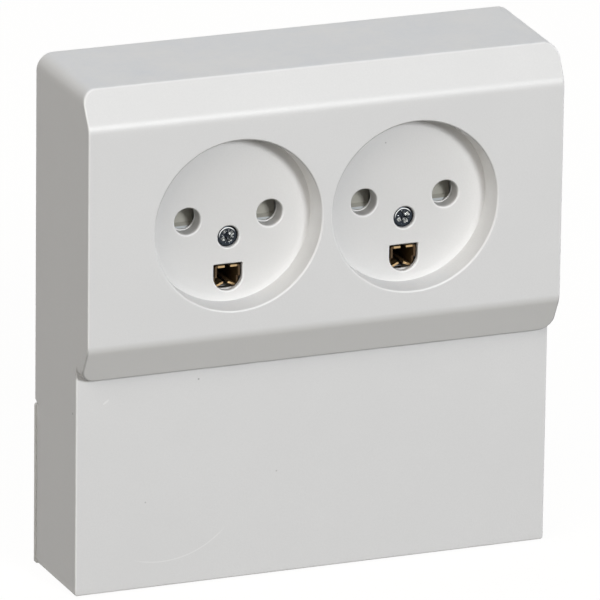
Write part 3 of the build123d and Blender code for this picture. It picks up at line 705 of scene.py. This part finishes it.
def screw_patches(c, s, x):
    """One face screw: a polar sheet whose depth falls into a cross, carried on down the head and shank.

    The cross is deep where one sideways distance is under half an arm's width and the other under half its
    length, with sloping walls, and four fine strokes lie between its arms.
    """
    line = socket_line(c, s) - s.screw_drop
    top = face_floor(c, s) - s.head_sink
    seat = top - s.head_height
    inner = s.head_radius - HEAD_ROUND
    angles = np.linspace(0, 2 * pi, 193)[:-1] + radians(8)
    radius = np.append(np.linspace(1.0, 0.02, 56) * inner, 0.0)[:, None]
    turned = angles - radians(30)
    u, v = np.abs(radius * np.cos(turned)), np.abs(radius * np.sin(turned))

    def ramp(distance, edge, width):
        """One inside an edge, falling to zero over a width."""
        return np.clip((edge - distance) / width + 0.5, 0, 1)

    def dome(away):
        """Depth of the head's top, which falls with the square of the distance from its centre."""
        return top - HEAD_DOME + HEAD_DOME * (1 - (away / s.head_radius) ** 2)

    arms = ramp(np.minimum(u, v), *ARM_HALF) * ramp(np.maximum(u, v), *ARM_REACH)
    strokes = ramp(np.abs(u - v) / 2 ** 0.5, *STROKE_HALF) * ramp(radius, *STROKE_REACH) * STROKE_DEPTH
    sink = np.maximum(arms * ARM_DEPTH, ramp(radius, *WELL_RADIUS) * WELL_DEPTH) + strokes
    sheet = around(x, line, angles, radius, dome(radius) - sink)
    nose = np.linspace(0, pi / 2, ROUND_POINTS)
    edge = np.stack([inner + HEAD_ROUND * np.sin(nose), dome(inner) - HEAD_ROUND * (1 - np.cos(nose))], 1)
    head = np.concatenate([edge, [(s.head_radius, seat)]])
    # Coarse thread: the shank's radius follows a triangle wave along the depth and round the angle
    depth = np.linspace(seat, seat - s.shank_length, 120)[:, None]
    wave = np.abs(((depth / THREAD_PITCH + angles / (2 * pi)) % 1.0) * 2 - 1)
    bite = (np.clip((seat - depth) / THREAD_START, 0, 1)
            * np.clip((depth - seat + s.shank_length) / THREAD_END, 0, 1))
    shank = around(x, line, angles, s.shank_radius - THREAD_DEPTH * wave * bite, depth)
    tip = around(x, line, angles, np.array([[s.shank_radius], [0.0]]), seat - s.shank_length)
    return [
        closed_patch(sheet, OUT),
        closed_patch(sectioned(x, line, angles, head), radial_out(angles, len(head)) + OUT),
        closed_patch(sectioned(x, line, angles, [(s.head_radius, seat), (s.shank_radius, seat)]), BACK),
        closed_patch(shank, radial_out(angles, len(depth))),
        closed_patch(tip, BACK),
    ]


def spring_patches(x, depth, low, high, coil):
    """A closed-end coil spring: a round section carried along a helix and capped.

    The height rises slowly over the first and last turn and evenly between. The section's two directions are
    the radius of the coil and the cross product of that radius with the path.
    """
    wire, turns = SPRING_WIRE, SPRING_TURNS
    t = np.linspace(0, 1, 48 * turns + 1)
    closed = CLOSED_TURN / turns
    pitch = 2 * wire * CLOSED_GAP
    slow = pitch * CLOSED_TURN
    z = low + wire + slow * np.minimum(t / closed, 1) + slow * np.clip((t - 1) / closed + 1, 0, 1)
    ease = np.clip((t - closed) / (1 - 2 * closed), 0, 1)
    z = z + ease * (high - low - 2 * wire - 2 * slow)
    swing = 2 * pi * turns * t
    out = np.stack([np.cos(swing), np.sin(swing), np.zeros_like(t)], -1)
    path = np.stack([x + coil * out[:, 0], -depth + coil * out[:, 1], z], -1)
    along = np.gradient(path, axis=0)
    along /= np.linalg.norm(along, axis=1)[:, None]
    side = np.cross(along, out)
    ring = np.linspace(0, 2 * pi, 13)[:-1]
    section = out[:, None] * np.cos(ring)[None, :, None] + side[:, None] * np.sin(ring)[None, :, None]
    tube = path[:, None] + wire * section
    parts = [closed_patch(tube, section)]
    for end, sign in ((0, -1), (-1, 1)):
        cap = np.stack([tube[end], np.broadcast_to(path[end], tube[end].shape)])
        parts.append(closed_patch(cap, sign * along[end]))
    return parts


# Finishes


class Wire:
    """A socket of a material's nodes. Arithmetic on wires adds Math nodes."""

    def __init__(self, tree, socket=None):
        self.tree = tree
        self.socket = socket

    def node(self, kind, settings=(), sockets=(), out=0):
        """A new node with its settings, then its sockets' values or links; gives one of its outputs."""
        made = self.tree.nodes.new(kind)
        for key, value in dict(settings).items():
            setattr(made, key, value)
        for key, value in dict(sockets).items():
            self.join(value, made.inputs[key])
        return Wire(self.tree, made.outputs[out])

    def join(self, value, socket):
        """Links a wire to a socket, or sets a plain value on it."""
        if isinstance(value, Wire):
            self.tree.links.new(value.socket, socket)
        else:
            socket.default_value = value

    def math(self, operation, *values, clamp=False):
        """A Math node on wires and numbers."""
        return self.node("ShaderNodeMath", {"operation": operation, "use_clamp": clamp}, enumerate(values))

    def __add__(self, other):
        return self.math("ADD", self, other)

    def __sub__(self, other):
        return self.math("SUBTRACT", self, other)

    def __rsub__(self, other):
        return self.math("SUBTRACT", other, self)

    def __mul__(self, other):
        return self.math("MULTIPLY", self, other)

    def __truediv__(self, other):
        return self.math("DIVIDE", self, other)

    __radd__ = __add__
    __rmul__ = __mul__

    def clamped(self):
        """The value kept between zero and one."""
        return self.math("ADD", self, 0.0, clamp=True)

    def size(self):
        """The value without its sign."""
        return self.math("ABSOLUTE", self)

    def root(self):
        """The square root."""
        return self.math("SQRT", self)

    def sign(self):
        """Minus one, zero or one."""
        return self.math("SIGN", self)

    def most(self, other):
        """The larger of two values."""
        return self.math("MAXIMUM", self, other)

    def step(self, low, high):
        """Zero below a low value, one above a high one, even between."""
        return ((self - low) / (high - low)).clamped()

    def between(self, start, end):
        """One between two slopes, each given by its low and high value, and zero outside them."""
        return self.step(*start) * (1.0 - self.step(*end))

    def axes(self, place):
        """The three numbers of a place."""
        split = self.node("ShaderNodeSeparateXYZ", {}, {0: place}).socket.node
        return [Wire(self.tree, number) for number in split.outputs]

    def mix(self, factor, first, second):
        """A colour between two colours."""
        wide = [shade if isinstance(shade, Wire) else (*shade, 1.0) for shade in (first, second)]
        return self.node("ShaderNodeMix", {"data_type": "RGBA"}, {0: factor, 6: wide[0], 7: wide[1]}, out=2)

    def noise(self, place, scale, detail=2.0, roughness=0.5):
        """Smooth noise over a place, between about 0.2 and 0.8."""
        return self.node("ShaderNodeTexNoise", {}, {"Vector": place, "Scale": scale, "Detail": detail,
                                                    "Roughness": roughness})

    def apart(self, place, point):
        """Distance of a place from a point."""
        return self.node("ShaderNodeVectorMath", {"operation": "DISTANCE"}, {0: place, 1: point}, out=1)

    def spot(self, place, point, radius):
        """One at a point, falling to zero at a radius."""
        return (1.0 - self.apart(place, point) / radius).clamped()

    def stroke(self, place, start, end, half_width):
        """One along a straight stroke, falling to zero at half its width and at its ends.

        The two distances to the ends add up to little more than the length only near the stroke.
        """
        span = (Vector(end) - Vector(start)).length
        extra = self.apart(place, start) + self.apart(place, end) - span
        return (1.0 - extra / (2 * half_width ** 2 / span * 2)).clamped()

    def bow(self, place, centre, radius, middle, reach, half_width):
        """One along an arc of a circle: near its radius, and near the arc's middle point."""
        off = (self.apart(place, centre) - radius).size()
        near = ((1.0 - self.apart(place, middle) / reach) * 4.0).clamped()
        return (1.0 - off / half_width).clamped() * near


def finish(name):
    """A new material: its wire, its shader and its Object coordinates."""
    material = bpy.data.materials.new(name)
    material.use_nodes = True
    wire = Wire(material.node_tree)
    place = wire.node("ShaderNodeTexCoord", out="Object")
    return material, wire, wire.tree.nodes["Principled BSDF"], place


def feed(wire, shader, **sockets):
    """Links wires to the shader's sockets and sets plain values on it."""
    for name, value in sockets.items():
        wire.join(value, shader.inputs[name.replace("_", " ")])


def raised(wire, height, strength, distance):
    """A bumped normal from a height."""
    return wire.node("ShaderNodeBump", {}, {"Height": height, "Strength": strength, "Distance": distance})


def shade(base, factor):
    """A colour made lighter or darker by a factor, or by one for each channel."""
    return tuple(np.minimum(1.0, np.multiply(base, factor)))


def moulded_plastic(name, base, grain, rough, specks=(), strokes=(), bows=(), floor=None):
    """Moulded plastic: fine spark-etched grain, slow mottling, pale edges that are partly wear and partly a
    painted highlight, a little dust on what faces up, dark specks and pale scratches. Undersides get painted
    shade, darker and warmer, with a painted shadow line at all their edges but the foot's. Behind the depth of a
    floor the holes get painted shade.
    """
    material, wire, shader, place = finish(name)
    _, y, z = wire.axes(place)
    slow = wire.noise(place, 38.0, 3.0, 0.6)
    fine = wire.noise(place, 1.0 / grain, 2.0, 0.6)
    tint = wire.mix(slow, shade(base, 0.965), shade(base, 1.03))
    tint = wire.mix((fine - 0.5) * 0.9 + 0.25, tint, shade(base, 0.94))
    edge = wire.node("ShaderNodeAttribute", {"attribute_name": "edge"}, out="Fac")
    facing = wire.axes(wire.node("ShaderNodeTexCoord", out="Normal"))[2]
    upward, downward = facing.step(*FACING_UP), 1.0 - facing.step(*FACING_DOWN)
    # Pale on outward edges, less where they face up and none where they face down: partly wear, partly a painted
    # highlight
    tint = wire.mix(edge * (1.0 - upward * 0.6) * (1.0 - downward) * 0.7, tint, PALE_WEAR_AND_HIGHLIGHT)
    # Painted shade: what faces down is made darker and warmer
    tint = wire.mix(downward * 0.9, tint, shade(base, UNDERSIDE_PAINTED_SHADE))
    # Painted shadow: a dark grey line along the edges of what faces down, above the foot
    tint = wire.mix(edge * downward * z.step(*FOOT_BAND) * 0.55, tint, shade(base, 0.35))
    dust = ((wire.noise(place, 75.0, 6.0, 0.72) - 0.36) * 2.6).clamped()
    tint = wire.mix(upward * dust * 0.55, tint, DUST_GREY)
    if floor:
        # Painted shade: the walls of the holes behind the floor are darkened
        tint = wire.mix((y + floor).between(HOLE_SHADE_START, HOLE_SHADE_END) * 0.75, tint, shade(base, 0.62))
    for point, radius, darkness in specks:
        tint = wire.mix((wire.spot(place, point, radius) * 3.0).clamped() * darkness, tint, SPECK_DARK)
    scratches = [wire.stroke(place, *stroke) for stroke in strokes] + [wire.bow(place, *bow) for bow in bows]
    if scratches:
        tint = wire.mix(reduce(Wire.most, scratches) * 0.55, tint, PALE_WEAR_AND_HIGHLIGHT)
    roughness = wire.noise(place, 90.0, 4.0, 0.65) * 0.05 + (rough - 0.025)
    feed(wire, shader, Base_Color=tint, Roughness=roughness, Normal=raised(wire, fine, 0.22, 0.0001))
    return material


def shutter_plastic(name, base, polished_and_lit, s, c):
    """Shutter moulding: the flat of each leg is dull; the ramp under it is painted pale and bluish as a pool of
    light, and the pins polish it.
    """
    material, wire, shader, place = finish(name)
    fine = wire.noise(place, 2200.0, 2.0, 0.6)
    slow = wire.noise(place, 300.0, 3.0, 0.6)
    line = socket_line(c, s)
    bounds = [[line + bound for bound in slope] for slope in (RAMP_FOOT, RAMP_HEAD)]
    ramp = wire.axes(place)[2].between(*bounds)
    tint = wire.mix(slow, shade(base, 0.9), shade(base, 1.06))
    # Painted light: the ramp is coloured pale and bluish as a pool of light
    tint = wire.mix(ramp * 0.9, tint, polished_and_lit)
    feed(wire, shader, Base_Color=tint, Roughness=0.55 - ramp * 0.25, Normal=raised(wire, fine, 0.12, 0.0001))
    return material


def earth_brass(name, bright, brown, s):
    """Earth contact: rolled brass, bare at the ends that the earth pin rubs, browned at the sides and inside."""
    material, wire, shader, place = finish(name)
    x, y, _ = wire.axes(place)
    off = (x - x.sign() * (s.spacing / 2)).size()
    cloud = wire.noise(place, 700.0, 4.0, 0.6)
    fine = wire.noise(place, 3000.0, 3.0, 0.6)
    rubbed = (1.0 - off.step(*RUBBED_HALF)) * (1.0 - y.step(*RUBBED_DEPTH))
    tint = wire.mix(((cloud - 0.5) * 1.8 + 0.4).clamped(), brown, shade(brown, 0.55))
    tint = wire.mix(rubbed, tint, wire.mix(cloud, bright, shade(bright, 0.75)))
    feed(wire, shader, Base_Color=tint, Metallic=rubbed * 0.5 + 0.45, Roughness=0.55 - rubbed * 0.25,
         Normal=raised(wire, fine, 0.12, 0.00005))
    return material


def plated_screw(name, dark, bright, s, c):
    """Plated face screw: the head is dark in place of the dark surroundings it reflects, a painted reflection,
    with the cross lightened in patches, partly wear and partly painted glints, and an arc of the head's edge
    lightened as a painted highlight.

    The sink of a point below the domed head tells the cross from the flat of the head.
    """
    material, wire, shader, place = finish(name)
    x, y, z = wire.axes(place)
    across = x - x.sign() * (s.spacing / 2)
    along = z - (socket_line(c, s) - s.screw_drop)
    away = (across * across + along * along).root()
    sunk = y + (face_floor(c, s) - s.head_sink) - away * away * (HEAD_DOME / s.head_radius ** 2)
    cloud = wire.noise(place, 900.0, 4.0, 0.6)
    fine = wire.noise(place, 4200.0, 3.0, 0.6)
    cross = sunk.between(CROSS_START, CROSS_END) * (1.0 - away.step(*CROSS_REACH))
    # Painted highlight: an arc on the upper side of the head's edge
    rim = away.between(RIM_START, RIM_END) * (along - across * 0.3).step(*RIM_HIGH)
    # Cross patches are partly wear and partly painted glints
    worn_and_glint = (cross * ((cloud - 0.36) * 4.0).clamped()).most(rim)
    # Painted reflection: the head is dark and cloudy in place of dark surroundings; the marks above are made
    # bright
    tint = wire.mix(cloud, shade(dark, 1.3), shade(dark, 0.6))
    tint = wire.mix(worn_and_glint, tint, bright)
    feed(wire, shader, Base_Color=tint, Metallic=1.0, Roughness=cloud * 0.16 + 0.12,
         Normal=raised(wire, fine, 0.1, 0.00004))
    return material


def plated_metal(name, base, dark, rough, scale, tarnish):
    """Plated or bare metal: cloudy colour, fine brushed bump, darker where tarnish gathers deep inside."""
    material, wire, shader, place = finish(name)
    cloud = wire.noise(place, 260.0, 4.0, 0.6)
    inside = ((wire.axes(place)[1] + TARNISH_START) / TARNISH_RUN).clamped() * tarnish
    fine = wire.noise(place, scale, 3.0, 0.6)
    tint = wire.mix(((cloud - 0.5) * 1.6 + 0.35).clamped(), base, shade(base, 0.72))
    tint = wire.mix(inside, tint, dark)
    feed(wire, shader, Base_Color=tint, Metallic=1.0, Roughness=cloud * 0.3 + (rough - 0.15),
         Normal=raised(wire, fine, 0.12, 0.00005))
    return material


def finishes():
    """The materials of all the pieces, made once and then found by name."""
    if "cover_plastic_moulded" not in bpy.data.materials:
        scene = bpy.context.scene
        f, s, c = scene.socket_finish, scene.socket_faces, scene.socket_cover
        moulded_plastic("cover_plastic_moulded", f.cover_white, f.grain, 0.38,
                        COVER_SPECKS, COVER_STROKES, COVER_BOWS)
        moulded_plastic("face_plastic_moulded", f.face_white, f.grain, 0.54, FACE_SPECKS, floor=face_floor(c, s))
        shutter_plastic("shutter_plastic_moulded", f.shutter_grey, f.ramp_painted_light, s, c)
        moulded_plastic("carrier_plastic_moulded", f.inner_dark, f.grain, 0.5)
        moulded_plastic("base_plastic_moulded", f.base_white, f.grain, 0.5)
        plated_metal("brass_rolled", f.brass, (0.1, 0.065, 0.022), rough=0.3, scale=2600.0, tarnish=0.7)
        earth_brass("brass_earth", f.brass_bare, f.brass_brown, s)
        plated_screw("zinc_face_screws", f.zinc, f.zinc_worn_glint, s, c)
        plated_metal("zinc_plated", f.zinc, (0.03, 0.03, 0.03), rough=0.24, scale=3200.0, tarnish=0.5)
        plated_metal("spring_wire", f.wire, (0.08, 0.08, 0.08), rough=0.32, scale=5200.0, tarnish=0.5)
    return bpy.data.materials


# Operators


class BuildingStep:
    """What the building steps share: each can be undone."""

    bl_options = {"REGISTER", "UNDO"}


class WALLSOCKET_OT_cover(BuildingStep, Operator):
    """Build the one-piece moulded cover"""

    bl_idname = "wall_socket.build_cover"
    bl_label = "Moulded cover"

    def execute(self, context):
        c, s = context.scene.socket_cover, context.scene.socket_faces
        piece = make_piece("moulded_cover", cover_patches(c, s), "cover_plastic_moulded")
        wall = piece.modifiers.new("wall", "SOLIDIFY")
        wall.thickness = c.wall
        wall.offset = -1.0
        piece.modifiers.new("even shading", "WEIGHTED_NORMAL").keep_sharp = True
        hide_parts("cover")
        return {"FINISHED"}


class WALLSOCKET_OT_faces(BuildingStep, Operator):
    """Build the two dished socket faces with their pin, screw and earth holes"""

    bl_idname = "wall_socket.build_faces"
    bl_label = "Socket faces"

    def execute(self, context):
        c, s = context.scene.socket_cover, context.scene.socket_faces
        for side, sign in SIDES.items():
            parts = face_patches(c, s, sign * s.spacing / 2)
            piece = make_piece(f"dished_face_{side}", parts, "face_plastic_moulded")
            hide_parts(f"socket_face_{side}")
        return {"FINISHED"}


class WALLSOCKET_OT_screws(BuildingStep, Operator):
    """Build the two plated screws that hold the socket faces"""

    bl_idname = "wall_socket.build_screws"
    bl_label = "Face screws"

    def execute(self, context):
        c, s = context.scene.socket_cover, context.scene.socket_faces
        parts = [part for sign in SIDES.values() for part in screw_patches(c, s, sign * s.spacing / 2)]
        piece = make_piece("plated_face_screws", parts, "zinc_face_screws", SCREW_BEND)
        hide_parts("face_screws")
        return {"FINISHED"}


class WALLSOCKET_OT_springs(BuildingStep, Operator):
    """Build the two coil springs that close the shutters"""

    bl_idname = "wall_socket.build_springs"
    bl_label = "Shutter springs"

    def execute(self, context):
        s = context.scene.socket_faces
        for side, sign in SIDES.items():
            low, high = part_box(f"shutter_spring_{side}")
            coil = (high.x - low.x) / 2 - SPRING_WIRE
            parts = spring_patches(sign * s.spacing / 2, -(low.y + high.y) / 2, low.z, high.z, coil)
            piece = make_piece(f"coil_spring_{side}", parts, "spring_wire")
            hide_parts(f"shutter_spring_{side}")
            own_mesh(piece)
        return {"FINISHED"}


class WALLSOCKET_OT_inner(BuildingStep, Operator):
    """Give the inner parts their finishes"""

    bl_idname = "wall_socket.finish_inner"
    bl_label = "Inner parts"

    def execute(self, context):
        chosen = {
            "shutter_plastic_moulded": ("shutter_left", "shutter_right"),
            "carrier_plastic_moulded": ("contact_carrier",),
            "base_plastic_moulded": ("base_plate", "cable_clamp"),
            "brass_earth": ("earth_strip",),
            "brass_rolled": ("line_strip", "neutral_strip", "line_terminal", "neutral_terminal",
                             "earth_terminal", "screw_inserts"),
            "zinc_plated": ("carrier_screws", "terminal_screws", "cable_clamp_screws"),
        }
        for material, names in chosen.items():
            for name in names:
                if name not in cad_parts:
                    raise RuntimeError(f"the frame has no part named {name}")
                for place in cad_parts[name].material_slots:
                    place.material = finishes()[material]
        return {"FINISHED"}


def seen(wire):
    """One for rays that show the surround: straight from the camera, by reflection or through glass."""
    rays = [wire.node("ShaderNodeLightPath", out=name)
            for name in ("Is Camera Ray", "Is Glossy Ray", "Is Transmission Ray")]
    return reduce(Wire.most, rays)


def studio_floor(colour):
    """A flat grid at the foot of the cover, lifted to white where it is seen."""
    across = np.linspace(-FLOOR_HALF, FLOOR_HALF, FLOOR_LINES)
    x, y = np.meshgrid(across, across)
    points, faces = patch(np.stack([x, y, np.full_like(x, CAD_BOX[0].z)], -1), (0, 0, 1))
    mesh = bpy.data.meshes.new("studio_floor")
    mesh.from_pydata(points, [], faces.tolist())
    floor = bpy.data.objects.new("studio_floor", mesh)
    bpy.context.collection.objects.link(floor)
    material, wire, shader, place = finish("floor_paper")
    tint = wire.mix(wire.noise(place, 3.0), colour, shade(colour, 0.99))
    feed(wire, shader, Base_Color=tint, Roughness=0.9, Specular_IOR_Level=0.0)
    glow = wire.node("ShaderNodeEmission", {}, {"Color": (1, 1, 1, 1), "Strength": FLOOR_GLOW})
    dark = wire.node("ShaderNodeEmission", {}, {"Color": (0, 0, 0, 1), "Strength": 0.0})
    lift = wire.node("ShaderNodeMixShader", {}, {0: seen(wire), 1: dark, 2: glow})
    whole = wire.node("ShaderNodeAddShader", {}, {0: Wire(wire.tree, shader.outputs[0]), 1: lift})
    wire.join(whole, wire.tree.nodes["Material Output"].inputs[0])
    mesh.materials.append(material)


def studio_surround(strength):
    """An even light all round, white where it is seen."""
    world = bpy.data.worlds.new("studio_surround")
    world.use_nodes = True
    bpy.context.scene.world = world
    wire = Wire(world.node_tree)
    light = wire.node("ShaderNodeBackground", {}, {0: SURROUND_TINT, 1: strength})
    white = wire.node("ShaderNodeBackground", {}, {0: (1, 1, 1, 1), 1: 1.0})
    both = wire.node("ShaderNodeMixShader", {}, {0: seen(wire), 1: light, 2: white})
    wire.join(both, wire.tree.nodes["World Output"].inputs[0])


def studio_lamp(name, power, azimuth, elevation, size, tint):
    """A square soft lamp that faces the object from degrees to the right of the front and degrees up."""
    turn, rise = radians(azimuth), radians(elevation)
    data = bpy.data.lights.new(name, "AREA")
    data.energy = power
    data.size = size
    data.color = tint
    lamp = bpy.data.objects.new(name, data)
    bpy.context.collection.objects.link(lamp)
    lamp.location = LAMP_TARGET + LAMP_REACH * Vector((sin(turn) * cos(rise), -cos(turn) * cos(rise), sin(rise)))
    lamp.rotation_mode = "QUATERNION"
    lamp.rotation_quaternion = (LAMP_TARGET - lamp.location).to_track_quat("-Z", "Y")


def photo_camera(st):
    """The camera, turned by its azimuth, elevation and roll and set back from its target."""
    data = bpy.data.cameras.new("photo_camera")
    data.lens = st.lens
    data.sensor_width = 36.0
    data.clip_end = 10.0
    camera = bpy.data.objects.new("photo_camera", data)
    bpy.context.collection.objects.link(camera)
    back = Vector((-sin(st.azimuth) * cos(st.elevation), -cos(st.azimuth) * cos(st.elevation), sin(st.elevation)))
    right = Vector((cos(st.azimuth), -sin(st.azimuth), 0.0))
    up = back.cross(right)
    turned = (right * cos(st.roll) + up * sin(st.roll), up * cos(st.roll) - right * sin(st.roll), back)
    pose = Matrix(turned).transposed().to_4x4()
    pose.translation = Vector(st.target) + back * st.distance
    camera.matrix_world = pose
    bpy.context.scene.camera = camera


class WALLSOCKET_OT_stage(BuildingStep, Operator):
    """Set up the floor, the lamps, the white surround and the camera"""

    bl_idname = "wall_socket.build_stage"
    bl_label = "Studio"

    def execute(self, context):
        context.scene.view_settings.view_transform = "Standard"
        st = context.scene.socket_stage
        studio_floor(st.floor_white)
        studio_surround(st.ambient)
        for name, (power, *rest) in LAMPS.items():
            studio_lamp(name, getattr(st, power), *rest)
        photo_camera(st)
        return {"FINISHED"}


STEPS = (WALLSOCKET_OT_cover, WALLSOCKET_OT_faces, WALLSOCKET_OT_screws, WALLSOCKET_OT_springs,
         WALLSOCKET_OT_inner, WALLSOCKET_OT_stage)


class WALLSOCKET_PT_panel(Panel):
    """Sidebar panel that lists the building steps"""

    bl_idname = "WALLSOCKET_PT_panel"
    bl_label = "Double wall socket"
    bl_space_type = "VIEW_3D"
    bl_region_type = "UI"
    bl_category = "Socket"

    def draw(self, context):
        column = self.layout.column(align=True)
        for step in STEPS:
            column.operator(step.bl_idname)


GROUPS = {
    "socket_cover": CoverSettings,
    "socket_faces": SocketSettings,
    "socket_finish": FinishSettings,
    "socket_stage": StageSettings,
}


def register():
    """Registers the settings, the operators and the panel."""
    for kind in (*GROUPS.values(), *STEPS, WALLSOCKET_PT_panel):
        bpy.utils.register_class(kind)
    for name, kind in GROUPS.items():
        setattr(bpy.types.Scene, name, PointerProperty(type=kind))


def unregister():
    """Removes what register added."""
    for name in GROUPS:
        delattr(bpy.types.Scene, name)
    for kind in (WALLSOCKET_PT_panel, *reversed(STEPS), *GROUPS.values()):
        bpy.utils.unregister_class(kind)


def main():
    """Builds every piece and the stage."""
    register()
    bpy.ops.wall_socket.build_cover()
    bpy.ops.wall_socket.build_faces()
    bpy.ops.wall_socket.build_screws()
    bpy.ops.wall_socket.build_springs()
    bpy.ops.wall_socket.finish_inner()
    bpy.ops.wall_socket.build_stage()
    bpy.context.view_layer.update()


if __name__ == "__main__":
    main()
